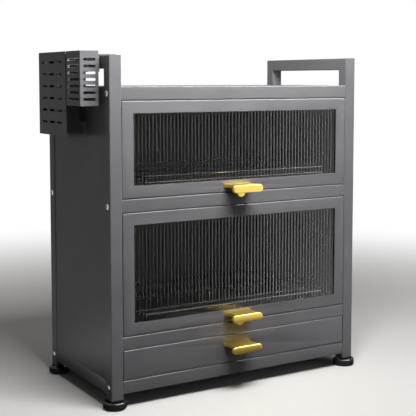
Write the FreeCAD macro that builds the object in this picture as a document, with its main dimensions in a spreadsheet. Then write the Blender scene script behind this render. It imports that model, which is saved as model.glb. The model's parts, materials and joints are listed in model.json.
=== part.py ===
import FreeCAD
import Part
import Sketcher
import math
import os

# A covered dish drying rack for a worktop: a frame of square tube with two cabinets
# behind lift-up doors of fluted glass, a drawer below and an open shelf on top.
# X runs to the right, Y to the back and Z up, in millimetres. The origin lies on the
# worktop, under the middle of the whole object's box, so the cabinet itself stands
# a little off it: by centre_x and centre_y in the sheet of levels.

doc = FreeCAD.newDocument("dish_rack")

# Driving sizes

SIZES = [
    # the frame
    ("frame_width", 700, "outside of the posts, left to right"),
    ("frame_depth", 355, "outside of the posts, front to back"),
    ("post_size", 30, "side of the square tube"),
    ("tube_wall", 1.0, "wall of the square tube"),
    ("edge_round", 2.5, "outer corner radius of the tube"),
    ("sheet", 0.8, "thickness of the folded sheet"),
    ("face_inset", 1.0, "doors and drawer lie this far behind the posts' faces"),
    ("lip_setback", 0.5, "shelf fronts lie this far behind the doors' faces"),
    ("panel_inset", 2.0, "side panels lie this far inside the posts' faces"),
    ("panel_fold", 20, "depth of the side panels' folded edges"),
    ("fit", 0.3, "clearance between pieces that slip past each other"),
    # the heights, from the bottom of the posts
    ("base_drop", 11, "posts reach this far below the base shelf"),
    ("lip_height", 30, "folded front of the base, lower and middle shelves"),
    ("top_lip_height", 30.5, "folded front of the top shelf"),
    ("drawer_opening", 71.5, "height of the drawer's opening"),
    ("lower_opening", 286.5, "height of the plate cabinet's opening"),
    ("upper_opening", 224.5, "height of the bowl cabinet's opening"),
    ("fence_height", 70, "top of the side rails above the top shelf"),
    # screws and bolts
    ("bolt_radius", 3, "frame bolts, M6"),
    ("bolt_head_radius", 7.5, "frame bolts' flat round heads"),
    ("bolt_head_height", 2.4, "frame bolts' heads"),
    ("bolt_socket", 2.3, "half the width of the hexagon socket, to its corners"),
    ("nut_radius", 5.7, "frame nuts, centre to corner"),
    ("nut_height", 5, "frame nuts"),
    ("hole_play", 0.25, "radial play of a bolt in its hole"),
    ("screw_radius", 2, "handle and back panel screws, M4"),
    ("screw_head_radius", 3.5, "handle and back panel screws' heads"),
    ("screw_head_height", 2.4, "handle and back panel screws' heads"),
    ("screw_grip", 9, "depth of a handle screw in the handle"),
    ("back_screw_length", 8, "back panel screws under their heads"),
    ("back_screw_inset", 30, "posts' inner faces to the back panel's outer screws"),
    ("vent_length", 40, "vents in the back panel"),
    ("vent_height", 6, "vents in the back panel"),
    ("vent_pitch", 60, "one vent to the next, sideways"),
    ("vent_row_pitch", 14, "one row of vents to the next"),
    ("vent_drop", 14, "cabinet's ceiling to the upper row of its vents"),
    # the doors
    ("side_gap", 1.5, "door or drawer front to post"),
    ("bottom_gap", 1.2, "door or drawer front to the shelf below it"),
    ("swing_clear", 0.5, "least clearance of a door's top edge as it swings"),
    ("door_thick", 12, "door, front to back"),
    ("window_border", 30, "opening's edge to the window"),
    ("hinge_drop", 16, "door's top edge down to the hinge line"),
    ("pin_radius", 2.5, "hinge pin"),
    ("pin_grip", 12, "hinge pin's length inside the door"),
    ("pin_play", 0.05, "running clearance of the hinge pin"),
    ("bush_radius", 4, "hinge bush through the post's wall"),
    ("bush_flange_radius", 6, "hinge bush's flange"),
    ("bush_flange", 1, "hinge bush's flange thickness"),
    ("bush_length", 7, "hinge bush inside the post"),
    ("glass_thick", 4, "fluted pane over its ribs"),
    ("glass_lap", 5, "pane behind the window's edge"),
    ("flute_pitch", 9.3, "one rib of the pane to the next"),
    ("flute_depth", 1.2, "depth of the valleys between the ribs"),
    ("catch_size", 14, "magnet catch, height and depth"),
    ("catch_width", 24, "magnet catch, along the door"),
    ("catch_inset", 3, "magnet catch to the post beside it"),
    # the handles
    ("handle_width", 85, "grip bar, end to end"),
    ("handle_height", 18.5, "grip bar, top to bottom"),
    ("handle_bar_depth", 8, "grip bar, front to back"),
    ("handle_reach", 51, "door's face to the front of the grip bar"),
    ("neck_width", 75, "neck plate at the door"),
    ("neck_waist", 63, "neck plate at its narrowest"),
    ("neck_thick", 9, "neck plate"),
    ("boss_radius", 12, "round boss under the neck"),
    ("boss_length", 20, "round boss, out from the door"),
    ("handle_round", 1.2, "rounded edges of the grip bar"),
    ("handle_shift", -12, "handles lie this far right of the middle"),
    ("handle_screws", 50, "distance between a handle's two screws"),
    ("handle_screw_rise", 4, "a handle's screws above the grip bar's middle"),
    ("upper_handle_drop", 17.7, "upper window's lower edge to the grip bar's middle"),
    ("lower_handle_drop", 12.5, "lower window's lower edge to the grip bar's middle"),
    ("drawer_handle_rise", 6.25, "middle of the drawer's opening to the grip bar's middle"),
    # the drawer
    ("front_thick", 15, "drawer front, front to back"),
    ("front_lip", 14, "return lip round the back of the drawer front"),
    ("runner_front_gap", 0.5, "drawer front to its runners"),
    ("runner_back_gap", 13.5, "runners' back ends to the posts' back faces"),
    ("runner_height", 35, "drawer runners, outer member"),
    ("runner_core", 18, "drawer runners, inner member's height"),
    ("runner_width", 12.5, "drawer runners, post to drawer"),
    ("runner_sheet", 1.5, "drawer runners' wall"),
    ("drawer_back_gap", 39, "drawer box to the posts' back faces"),
    ("drawer_lift", 8, "drawer box above the base shelf"),
    ("drawer_headroom", 11.5, "drawer box to the shelf above it"),
    # the racks and their trays
    ("rack_side_gap", 62, "posts' inner faces to the racks' side wires"),
    ("rack_front_gap", 6.5, "doors' backs to the racks' front wire"),
    ("rack_back_gap", 25, "racks' back wire to the posts' back faces"),
    ("rack_shift", 4, "racks and trays stand this far right of the middle"),
    ("frame_wire", 2.5, "radius of the racks' outline wire"),
    ("rung_wire", 1.6, "radius of the racks' thin wires"),
    ("bowl_rack_height", 33, "bowl rack's outline wire above its shelf"),
    ("guard_rise", 15, "bowl rack's guard wire above the outline wire"),
    ("plate_rack_height", 40.5, "plate rack's outline wire above its shelf"),
    ("rung_pitch", 28.4, "one rung or plate divider to the next"),
    ("rung_margin", 15, "side wires to the first rung, at the least"),
    ("divider_height", 34, "plate divider over its wires"),
    ("divider_width", 36, "plate divider, front leg to back leg"),
    ("divider_round", 9, "bends of a plate divider"),
    ("divider_setback", 6, "front wire to the first row of dividers"),
    ("divider_rows", 150, "first row of dividers to the second"),
    ("tray_margin", 8, "tray beyond the rack's outline wire"),
    ("tray_height", 18, "drip trays"),
    ("tray_wall", 1.6, "drip trays' wall"),
    # the feet
    ("pad_thick", 2, "soft pad under the foot wheel"),
    ("pad_radius", 23, "soft pad under the foot wheel"),
    ("pad_spigot_radius", 6, "pad's spigot in the wheel"),
    ("pad_spigot", 5, "height of the pad's spigot"),
    ("wheel_height", 16, "foot wheel"),
    ("wheel_radius", 27, "foot wheel over its ribs"),
    ("wheel_rim", 5.5, "width of the foot wheel's rim"),
    ("wheel_recess", 4, "depth of the recess in the wheel's top"),
    ("wheel_chamfer", 1.6, "bevel round the wheel's edges"),
    ("collar_radius", 11, "collar round the foot's stem"),
    ("collar_rise", 2, "collar above the wheel's rim"),
    ("plug_flange", 3, "square cap between the wheel and the post"),
    ("plug_gap", 2, "plug in the post to the frame bolt above it"),
    ("stem_radius", 4, "foot's threaded stem, M8"),
    ("stem_play", 0.08, "radial play of the stem in its plug"),
    # the holders on the left side
    ("holder_reach", 50, "posts' faces to the holders' outer faces"),
    ("holder_rise", 10, "holders' rims above the side rail"),
    ("holder_gap", 5, "between the two holders"),
    ("holder_wall", 1.0, "sheet of the holders"),
    ("basket_setback", 44.8, "posts' front faces to the cutlery basket"),
    ("basket_depth", 45, "cutlery basket, out from the cabinet"),
    ("basket_length", 77.5, "cutlery basket, front to back"),
    ("basket_height", 124, "cutlery basket"),
    ("basket_slot", 6.2, "height of the cutlery basket's slots"),
    ("basket_slot_pitch", 14.9, "one slot of the basket to the next"),
    ("basket_slot_start", 15, "lowest slot's middle above the floor"),
    ("basket_slot_margin", 7, "end of a slot to the basket's corner"),
    ("basket_rim", 10, "top slot's middle to the basket's rim, at the least"),
    ("knife_depth", 34, "knife holder, out from the cabinet"),
    ("knife_length", 164, "knife holder, front to back"),
    ("knife_height", 196, "knife holder"),
    ("knife_slot", 5.2, "height of the knife holder's vents"),
    ("knife_slot_length", 30.5, "length of the knife holder's vents"),
    ("knife_slot_pitch", 45, "one column of vents to the next"),
    ("knife_slot_start", 38, "first column's middle from the front"),
    ("knife_row_pitch", 28.2, "one row of vents to the next"),
    ("knife_row_start", 31, "lowest row's middle above the floor"),
    ("knife_vent_side", 12, "vents to the holder's back corner, at the least"),
    ("knife_vent_top", 30, "top row's middle to the insert, at the least"),
    ("spacer_height", 34, "spacers that keep the knife holder upright"),
    ("insert_height", 12, "slotted insert in the knife holder"),
    ("insert_sink", 3, "insert below the knife holder's rim"),
    ("blade_slot", 5, "width of a blade's slot"),
    ("blade_slot_length", 30, "length of a blade's slot, front to back"),
    ("strap_thick", 3, "hook straps"),
    ("strap_width", 14, "hook straps"),
    ("strap_drop", 25, "hook straps' drop inside the rail"),
    ("strap_leg", 40, "hook straps' leg on the holder's back"),
    ("strap_inset", 1, "end of a holder to its strap"),
    ("strap_play", 6, "side rail's inner face to a strap's drop"),
]

BLADE_SLOTS = 4
WHEEL_RIBS = 36
VENT_COLUMNS = 7
VENT_ROWS = 2

sizes = doc.addObject("Spreadsheet::Sheet", "sizes")
for row, (word, value, note) in enumerate(SIZES, start=1):
    sizes.set(f"A{row}", note)
    sizes.set(f"B{row}", str(value))
    sizes.setAlias(f"B{row}", word)
doc.recompute()

# Levels and places that follow from the sizes, from the cabinet's middle and the floor

LEVELS = [
    ("half_w", "sizes.frame_width / 2"),
    ("half_d", "sizes.frame_depth / 2"),
    ("inner_w", "half_w - sizes.post_size"),
    ("inner_d", "half_d - sizes.post_size"),
    ("post_x", "half_w - sizes.post_size / 2"),
    ("post_y", "half_d - sizes.post_size / 2"),
    ("reach_left", "half_w + sizes.holder_reach"),
    ("reach_right", "post_x + sizes.wheel_radius"),
    ("centre_x", "(reach_left - reach_right) / 2"),
    ("face", "-half_d + sizes.face_inset"),
    ("lip_face", "face + sizes.lip_setback"),
    ("back_face", "half_d - sizes.face_inset"),
    ("reach_front", "-face + sizes.handle_reach"),
    ("reach_back", "post_y + sizes.wheel_radius"),
    ("centre_y", "(reach_front - reach_back) / 2"),
    ("z_rim", "sizes.pad_thick + sizes.wheel_height"),
    ("z_plug", "z_rim + sizes.collar_rise"),
    ("z_post", "z_plug + sizes.plug_flange"),
    ("z_base", "z_post + sizes.base_drop"),
    ("z_drawer", "z_base + sizes.lip_height"),
    ("z_lower_lip", "z_drawer + sizes.drawer_opening"),
    ("z_lower", "z_lower_lip + sizes.lip_height"),
    ("z_middle_lip", "z_lower + sizes.lower_opening"),
    ("z_middle", "z_middle_lip + sizes.lip_height"),
    ("z_top_lip", "z_middle + sizes.upper_opening"),
    ("z_shelf", "z_top_lip + sizes.top_lip_height"),
    ("z_top", "z_shelf + sizes.fence_height"),
    ("z_holder", "z_top + sizes.holder_rise"),
    ("hinge_depth", "sizes.door_thick / 2"),
    ("hinge_y", "face + hinge_depth"),
    ("swing", "sqrt(hinge_depth ^ 2 + sizes.hinge_drop ^ 2)"),
    ("top_gap", "swing - sizes.hinge_drop + sizes.swing_clear"),
    ("door_x", "inner_w - sizes.side_gap"),
    ("door_back", "face + sizes.door_thick"),
    ("window_x", "inner_w - sizes.window_border"),
    ("panel_x", "half_w - sizes.panel_inset"),
    ("runner_x", "inner_w - sizes.runner_width"),
    ("runner_z", "z_drawer + sizes.drawer_opening / 2"),
    ("runner_front", "face + sizes.front_thick + sizes.runner_front_gap"),
    ("runner_back", "half_d - sizes.runner_back_gap"),
    ("drawer_face_back", "face + sizes.front_thick"),
    ("drawer_back", "half_d - sizes.drawer_back_gap"),
    ("rack_front", "door_back + sizes.rack_front_gap"),
    ("rack_back", "half_d - sizes.rack_back_gap"),
    ("rack_x", "inner_w - sizes.rack_side_gap"),
    ("plug_top", "z_base + (sizes.lip_height / 2) - sizes.bolt_radius - sizes.plug_gap"),
    ("basket_y", "-half_d + sizes.basket_setback"),
    ("knife_y", "basket_y + sizes.basket_length + sizes.holder_gap"),
]

levels = doc.addObject("Spreadsheet::Sheet", "levels")
for row, (word, formula) in enumerate(LEVELS, start=1):
    levels.set(f"B{row}", "=" + formula)
    levels.setAlias(f"B{row}", word)
doc.recompute()

HALF_W = "levels.half_w"
HALF_D = "levels.half_d"
INNER_W = "levels.inner_w"
INNER_D = "levels.inner_d"
FACE = "levels.face"
SHEET = "sizes.sheet"
LEFT, RIGHT = -1, 1
FRONT, BACK = -1, 1
CUTTER = "10"
nodes = {}


def num(text):
    """The number that an expression gives."""
    value = levels.evalExpression(text)
    return float(getattr(value, "Value", value))


def count_in(room, pitch):
    """How many things a pitch apart fit in a length of room."""
    return max(1, math.floor(num(room) / num(pitch)) + 1)


# Helpers: every place is an expression, from the cabinet's middle and the floor


def place(obj, x, y, z):
    obj.setExpression("Placement.Base.x", f"levels.centre_x + ({x})")
    obj.setExpression("Placement.Base.y", f"levels.centre_y + ({y})")
    obj.setExpression("Placement.Base.z", z)


def span(side, near, far):
    """The range from near to far on one side of the middle, as (low, high)."""
    if side > 0:
        return (near, far)
    return (f"-({far})", f"-({near})")


def both(reach):
    """The range that reaches as far to either side of the middle."""
    return (f"-({reach})", reach)


def about(middle, size):
    """The range of a given size about a middle."""
    return (f"({middle}) - ({size}) / 2", f"({middle}) + ({size}) / 2")


def box(name, x, y, z):
    """A block between the low and high of each range."""
    block = doc.addObject("Part::Box", name)
    for prop, (low, high) in (("Length", x), ("Width", y), ("Height", z)):
        block.setExpression(prop, f"({high}) - ({low})")
    place(block, x[0], y[0], z[0])
    return block


TURNS = {
    "X": FreeCAD.Rotation(FreeCAD.Vector(0, 1, 0), 90),
    "Y": FreeCAD.Rotation(FreeCAD.Vector(1, 0, 0), -90),
    "Z": FreeCAD.Rotation(),
}


def rod(name, axis, radius, start, length):
    """A cylinder that runs from its start along +X, +Y or +Z."""
    bar = doc.addObject("Part::Cylinder", name)
    bar.setExpression("Radius", radius)
    bar.setExpression("Height", length)
    bar.Placement = FreeCAD.Placement(FreeCAD.Vector(), TURNS[axis])
    place(bar, *start)
    return bar


def joined(name, pieces):
    whole = doc.addObject("Part::MultiFuse", name)
    whole.Shapes = pieces
    whole.Refine = True
    return whole


def group(name, pieces):
    """Separate solids that share one node."""
    whole = doc.addObject("Part::Compound", name)
    whole.Links = pieces
    return whole


def cut(name, base, tools):
    result = doc.addObject("Part::Cut", name)
    result.Base = base
    result.Tool = tools[0] if len(tools) == 1 else joined(name + "_tools", tools)
    return result


def pan(name, x, y, z, open_side, wall=SHEET):
    """A folded pan: a block hollowed out from one side, such as "+y"."""
    hollow = []
    for axis, (low, high) in (("x", x), ("y", y), ("z", z)):
        low_wall = f"- {CUTTER}" if open_side == "-" + axis else f"+ {wall}"
        high_wall = f"+ {CUTTER}" if open_side == "+" + axis else f"- {wall}"
        hollow.append((f"({low}) {low_wall}", f"({high}) {high_wall}"))
    return cut(name, box(name + "_block", x, y, z), [box(name + "_hollow", *hollow)])


def rounded(name, base, direction, radius):
    """The block with its edges along one direction rounded."""
    doc.recompute()
    result = doc.addObject("Part::Fillet", name)
    result.Base = base
    edges = []
    for index, edge in enumerate(base.Shape.Edges, start=1):
        if abs(edge.tangentAt(edge.FirstParameter).dot(direction)) > 0.999:
            edges.append((index, radius, radius))
    result.Edges = edges
    return result


def keep(label, obj):
    """Name a finished sub-part and keep it for the files."""
    obj.Label = label
    nodes[label] = obj
    return obj


X_AXIS = FreeCAD.Vector(1, 0, 0)
Y_AXIS = FreeCAD.Vector(0, 1, 0)
Z_AXIS = FreeCAD.Vector(0, 0, 1)

# Heights of the frame bolts and of the hinge lines

BOLT_LEVELS = {
    "base": "levels.z_base + sizes.lip_height / 2",
    "middle": "levels.z_middle_lip + sizes.lip_height / 2",
    "top": "levels.z_top_lip + sizes.top_lip_height / 2",
}
DOORS = {
    "upper": (
        "levels.z_middle",
        "levels.z_top_lip",
        "(sizes.window_border - sizes.upper_handle_drop)",
    ),
    "lower": (
        "levels.z_lower",
        "levels.z_middle_lip",
        "(sizes.window_border - sizes.lower_handle_drop)",
    ),
}


def door_top(door):
    return f"({DOORS[door][1]} - levels.top_gap)"


def hinge_z(door):
    return f"({door_top(door)} - sizes.hinge_drop)"


def side_start(side, at, length):
    """Where a rod along +X starts, to reach from one place outwards."""
    return at if side > 0 else f"-({at}) - ({length})"


# Posts and side rails: square tube, mitred where they meet at the top


def mitre(name, side, end, lower):
    """A block on one side of the slanting joint between a post and its side rail."""
    reach = num("sizes.post_size * 2")
    block = doc.addObject("Part::Box", name)
    block.setExpression("Length", f"sizes.post_size + 2 * {CUTTER}")
    block.setExpression("Width", "sizes.post_size * 2")
    block.setExpression("Height", "sizes.post_size * 2")
    turn = FreeCAD.Rotation(FreeCAD.Vector(1, 0, 0), 45 * end)
    along = turn.multVec(Y_AXIS) * (-reach if end == BACK else 0)
    under = turn.multVec(Z_AXIS) * (-reach if lower else 0)
    block.Placement = FreeCAD.Placement(FreeCAD.Vector(), turn)
    x = span(side, INNER_W, HALF_W)[0] + f" - {CUTTER}"
    y = f"{end} * {HALF_D} + {along.y + under.y}"
    place(block, x, y, f"levels.z_top + {along.z + under.z}")
    return block


def post(label, side, end):
    outside = box(
        label + "_block",
        span(side, INNER_W, HALF_W),
        span(end, INNER_D, HALF_D),
        ("levels.z_post", "levels.z_top"),
    )
    hollow = box(
        label + "_hollow",
        span(side, INNER_W + " + sizes.tube_wall", HALF_W + " - sizes.tube_wall"),
        span(end, INNER_D + " + sizes.tube_wall", HALF_D + " - sizes.tube_wall"),
        (f"levels.z_post - {CUTTER}", f"levels.z_top + {CUTTER}"),
    )
    tools = [hollow, mitre(label + "_mitre", side, end, lower=False)]
    for level, z in BOLT_LEVELS.items():
        length = f"sizes.post_size + 2 * {CUTTER}"
        start = side_start(side, f"{INNER_W} - {CUTTER}", length)
        hole = (start, f"{end} * levels.post_y", z)
        radius = "sizes.bolt_radius + sizes.hole_play"
        tools.append(rod(f"{label}_{level}_hole", "X", radius, hole, length))
    if end == FRONT:
        for door in DOORS:
            length = "sizes.tube_wall + 2"
            start = side_start(side, f"{INNER_W} - 1", length)
            hole = (start, "levels.hinge_y", hinge_z(door))
            tools.append(rod(f"{label}_{door}_hinge", "X", "sizes.bush_radius", hole, length))
    radius = num("sizes.edge_round")
    keep(label, cut(label, rounded(label + "_round", outside, Z_AXIS, radius), tools))


def side_rail(label, side):
    """The top tube of one side, from front to back."""
    outside = box(
        label + "_block",
        span(side, INNER_W, HALF_W),
        both(HALF_D),
        ("levels.z_top - sizes.post_size", "levels.z_top"),
    )
    hollow = box(
        label + "_hollow",
        span(side, INNER_W + " + sizes.tube_wall", HALF_W + " - sizes.tube_wall"),
        both(f"{HALF_D} + {CUTTER}"),
        ("levels.z_top - sizes.post_size + sizes.tube_wall", "levels.z_top - sizes.tube_wall"),
    )
    mitres = [mitre(f"{label}_mitre_{end + 1}", side, end, lower=True) for end in (FRONT, BACK)]
    radius = num("sizes.edge_round")
    block = rounded(label + "_round", outside, Y_AXIS, radius)
    keep(label, cut(label, block, [hollow] + mitres))


def base_rail(label, side):
    """The bottom tube of one side, between the posts."""
    outer = HALF_W + " - sizes.face_inset"
    outside = box(
        label + "_block",
        span(side, INNER_W, outer),
        both(INNER_D),
        ("levels.z_base", "levels.z_drawer"),
    )
    hollow = box(
        label + "_hollow",
        span(side, INNER_W + " + sizes.tube_wall", outer + " - sizes.tube_wall"),
        both(f"{INNER_D} + {CUTTER}"),
        ("levels.z_base + sizes.tube_wall", "levels.z_drawer - sizes.tube_wall"),
    )
    keep(label, cut(label, outside, [hollow]))


def side_panel(label, side):
    """A sheet between the posts, its edges folded inwards."""
    x = span(side, "levels.panel_x - sizes.panel_fold", "levels.panel_x")
    z = ("levels.z_drawer", f"levels.z_shelf - {SHEET}")
    keep(label, pan(label, x, both(INNER_D), z, "-x" if side > 0 else "+x"))


for side, side_name in ((LEFT, "left"), (RIGHT, "right")):
    post(f"post_front_{side_name}", side, FRONT)
    post(f"post_back_{side_name}", side, BACK)
    side_rail(f"side_rail_{side_name}", side)
    base_rail(f"base_rail_{side_name}", side)
    side_panel(f"side_panel_{side_name}", side)

# Shelves: folded pans, open below, bolted to the posts through their side lips


def shelf(label, z_low, z_high, wing, bolts):
    """A shelf with folded lips; wing is how far it reaches sideways between the posts."""
    y = ("levels.lip_face", f"levels.back_face - {SHEET}")
    body = pan(label + "_pan", both(INNER_W), y, (z_low, z_high), "-z")
    if wing:
        y = both(f"{INNER_D} - {SHEET} - sizes.fit")
        wings = box(label + "_wings", both(wing), y, (f"{z_high} - {SHEET}", z_high))
        body = joined(label + "_plate", [body, wings])
    holes = []
    for column, x in BACK_SCREW_PLACES.items():
        start = (x, f"levels.back_face - {CUTTER}", f"({z_low} + {z_high}) / 2")
        radius = "sizes.screw_radius + sizes.stem_play"
        holes.append(rod(f"{label}_tap_{column}", "Y", radius, start, f"2 * {CUTTER}"))
    for end in (FRONT, BACK) if bolts else ():
        start = (f"-{INNER_W} - 1", f"{end} * levels.post_y", BOLT_LEVELS[bolts])
        length = f"2 * {INNER_W} + 2"
        radius = "sizes.bolt_radius + sizes.hole_play"
        holes.append(rod(f"{label}_hole_{end + 1}", "X", radius, start, length))
    keep(label, cut(label, body, holes))


BACK_SCREW_PLACES = {
    "left": f"-({INNER_W} - sizes.back_screw_inset)",
    "centre": "0",
    "right": f"{INNER_W} - sizes.back_screw_inset",
}
WING = f"levels.panel_x - {SHEET} - sizes.fit"
shelf("top_shelf", "levels.z_top_lip", "levels.z_shelf", "levels.panel_x", "top")
shelf("middle_shelf", "levels.z_middle_lip", "levels.z_middle", WING, "middle")
shelf("lower_shelf", "levels.z_lower_lip", "levels.z_lower", WING, None)
shelf("base_shelf", "levels.z_base", "levels.z_drawer", None, "base")

# Back panel with vents, screwed to the shelves' rear lips

BACK_SCREW_LEVELS = {
    "base": BOLT_LEVELS["base"],
    "lower": "levels.z_lower_lip + sizes.lip_height / 2",
    "middle": BOLT_LEVELS["middle"],
    "top": BOLT_LEVELS["top"],
}


def back_panel():
    y = (f"levels.back_face - {SHEET}", "levels.back_face")
    sheet = box("back_panel_sheet", both(INNER_W), y, ("levels.z_base", "levels.z_shelf"))
    through = (f"levels.back_face - {CUTTER}", f"levels.back_face + {CUTTER}")
    tools = []
    for door, (_, ceiling, _) in DOORS.items():
        for row in range(VENT_ROWS):
            z = f"{ceiling} - sizes.vent_drop - {row} * sizes.vent_row_pitch"
            for column in range(VENT_COLUMNS):
                x = f"{column - (VENT_COLUMNS - 1) / 2} * sizes.vent_pitch"
                name = f"back_panel_{door}_vent_{row}_{column}"
                x_range = about(x, "sizes.vent_length")
                z_range = about(z, "sizes.vent_height")
                tools.append(box(name, x_range, through, z_range))
    for level, z in BACK_SCREW_LEVELS.items():
        for column, x in BACK_SCREW_PLACES.items():
            name = f"back_panel_hole_{level}_{column}"
            radius = "sizes.screw_radius + sizes.hole_play"
            tools.append(rod(name, "Y", radius, (x, through[0], z), f"2 * {CUTTER}"))
    cutters = group("back_panel_cutters", tools)
    keep("back_panel", cut("back_panel", sheet, [cutters]))


def back_panel_screws():
    """Pan-head screws through the back panel into the shelves' rear lips."""
    screws = []
    for level, z in BACK_SCREW_LEVELS.items():
        for column, x in BACK_SCREW_PLACES.items():
            name = f"back_screw_{level}_{column}"
            head = rod(
                name + "_head",
                "Y",
                "sizes.screw_head_radius",
                (x, "levels.back_face", z),
                "sizes.screw_head_height",
            )
            length = "sizes.back_screw_length"
            start = (x, f"levels.back_face - {length}", z)
            shank = rod(name + "_shank", "Y", "sizes.screw_radius", start, length)
            screws.append(joined(name, [head, shank]))
    keep("back_panel_screws", group("back_panel_screws", screws))


back_panel()
back_panel_screws()

# Frame bolts through the posts, with nuts inside the shelves' side lips


def hexagon(name, radius, start, length):
    prism = doc.addObject("Part::Prism", name)
    prism.Polygon = 6
    prism.setExpression("Circumradius", radius)
    prism.setExpression("Height", length)
    prism.Placement = FreeCAD.Placement(FreeCAD.Vector(), TURNS["X"])
    place(prism, *start)
    return prism


def frame_bolts():
    bolts = []
    nuts = []
    shank = f"(sizes.post_size + {SHEET} + sizes.nut_height + 1)"
    tip = f"{HALF_W} - {shank}"
    nut_at = f"{INNER_W} - {SHEET} - sizes.nut_height"
    for side in (LEFT, RIGHT):
        for end in (FRONT, BACK):
            for level, z in BOLT_LEVELS.items():
                name = f"bolt_{side + 1}_{end + 1}_{level}"
                y = f"{end} * levels.post_y"
                head_start = side_start(side, HALF_W, "sizes.bolt_head_height")
                head_at = (head_start, y, z)
                height = "sizes.bolt_head_height"
                head = rod(name + "_head", "X", "sizes.bolt_head_radius", head_at, height)
                shank_at = (side_start(side, tip, shank), y, z)
                stem = rod(name + "_shank", "X", "sizes.bolt_radius", shank_at, shank)
                depth = "sizes.bolt_head_height * 0.7"
                socket_from = f"{HALF_W} + sizes.bolt_head_height - {depth}"
                length = f"{depth} + 1"
                socket_at = (side_start(side, socket_from, length), y, z)
                socket = hexagon(name + "_socket", "sizes.bolt_socket", socket_at, length)
                bolts.append(cut(name, joined(name + "_solid", [head, stem]), [socket]))
                nut_place = (side_start(side, nut_at, "sizes.nut_height"), y, z)
                nut = hexagon(f"nut_{name}", "sizes.nut_radius", nut_place, "sizes.nut_height")
                bore_at = (side_start(side, f"{nut_at} - 1", "sizes.nut_height + 2"), y, z)
                bore_radius = "sizes.bolt_radius + sizes.stem_play"
                length = "sizes.nut_height + 2"
                bore = rod(f"nut_{name}_bore", "X", bore_radius, bore_at, length)
                nuts.append(cut(f"nut_{name}_ring", nut, [bore]))
    keep("frame_bolts", group("frame_bolts", bolts))
    keep("frame_nuts", group("frame_nuts", nuts))


frame_bolts()

# Handles: one casting each, a grip bar on a waisted neck with a round boss below


def origin_plane(body, role):
    """A body's own origin plane, such as XY_Plane."""
    for feature in body.Origin.OriginFeatures:
        if feature.Role == role:
            return feature
    raise ValueError(role)


def sketch_on(body, name, role, offset="0"):
    sketch = body.newObject("Sketcher::SketchObject", name)
    sketch.AttachmentSupport = [(origin_plane(body, role), "")]
    sketch.MapMode = "FlatFace"
    sketch.setExpression("AttachmentOffset.Base.z", offset)
    return sketch


def corner_size(sketch, geometry, vertex, x, y):
    """Tie an end (1 or 2) or a centre (3) to the sketch's origin by named distances."""
    for kind, text in (("DistanceX", x), ("DistanceY", y)):
        if text is None:
            continue
        value = num(text)
        if abs(value) < 1e-9:
            axis = -2 if kind == "DistanceX" else -1
            sketch.addConstraint(Sketcher.Constraint("PointOnObject", geometry, vertex, axis))
            continue
        rule = Sketcher.Constraint(kind, -1, 1, geometry, vertex, value)
        index = sketch.addConstraint(rule)
        sketch.setExpression(f"Constraints[{index}]", text)


def closed_loop(sketch, count):
    """Join each piece's end to the next piece's start."""
    for index in range(count):
        following = (index + 1) % count
        sketch.addConstraint(Sketcher.Constraint("Coincident", index, 2, following, 1))


def vector(x, y):
    return FreeCAD.Vector(num(x), num(y), 0)


def rectangle(sketch, x, y):
    """A rectangle between two ranges of expressions."""
    corners = [(x[0], y[0]), (x[1], y[0]), (x[1], y[1]), (x[0], y[1])]
    for index in range(4):
        start = vector(*corners[index])
        end = vector(*corners[(index + 1) % 4])
        sketch.addGeometry(Part.LineSegment(start, end))
    closed_loop(sketch, 4)
    for index, corner in enumerate(corners):
        corner_size(sketch, index, 1, *corner)


def stadium(sketch, x, y, length, height):
    """A round-ended slot or bar about a middle."""
    left, right = about(x, f"({length} - {height})")
    low, high = about(y, height)
    half = num(height) / 2
    tip = FreeCAD.Vector(half, 0, 0)
    sketch.addGeometry(Part.LineSegment(vector(left, low), vector(right, low)))
    outward = vector(right, y) + tip
    sketch.addGeometry(Part.Arc(vector(right, low), outward, vector(right, high)))
    sketch.addGeometry(Part.LineSegment(vector(right, high), vector(left, high)))
    outward = vector(left, y) - tip
    sketch.addGeometry(Part.Arc(vector(left, high), outward, vector(left, low)))
    for index in range(4):
        following = (index + 1) % 4
        sketch.addConstraint(Sketcher.Constraint("Tangent", index, 2, following, 1))
    for line in (0, 2):
        sketch.addConstraint(Sketcher.Constraint("Horizontal", line))
    corner_size(sketch, 1, 3, right, y)
    corner_size(sketch, 3, 3, left, None)
    radius = sketch.addConstraint(Sketcher.Constraint("Radius", 1, half))
    sketch.setExpression(f"Constraints[{radius}]", f"({height}) / 2")


def pad(body, name, sketch, length):
    feature = body.newObject("PartDesign::Pad", name)
    feature.Profile = sketch
    feature.setExpression("Length", length)
    return feature


def neck_outline(sketch):
    """The neck plate seen from above: straight at the door and waisted before the bar."""
    root = "sizes.neck_width / 2"
    waist = "sizes.neck_waist / 2"
    waist_y = "-(sizes.handle_reach - sizes.handle_bar_depth) * 0.6"
    end_y = "-(sizes.handle_reach - sizes.handle_bar_depth / 2)"
    tip = f"({waist}) + ({root} - {waist}) / 4"
    right = [vector(root, "0"), vector(waist, waist_y), vector(tip, end_y)]
    left = [FreeCAD.Vector(-point.x, point.y, 0) for point in reversed(right)]
    sketch.addGeometry(Part.Arc(*right))
    sketch.addGeometry(Part.LineSegment(right[2], left[0]))
    sketch.addGeometry(Part.Arc(*left))
    sketch.addGeometry(Part.LineSegment(left[2], right[0]))
    closed_loop(sketch, 4)
    corner_size(sketch, 0, 1, root, "0")
    corner_size(sketch, 0, 2, tip, end_y)
    corner_size(sketch, 2, 1, f"-({tip})", end_y)
    corner_size(sketch, 2, 2, f"-{root}", "0")


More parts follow.
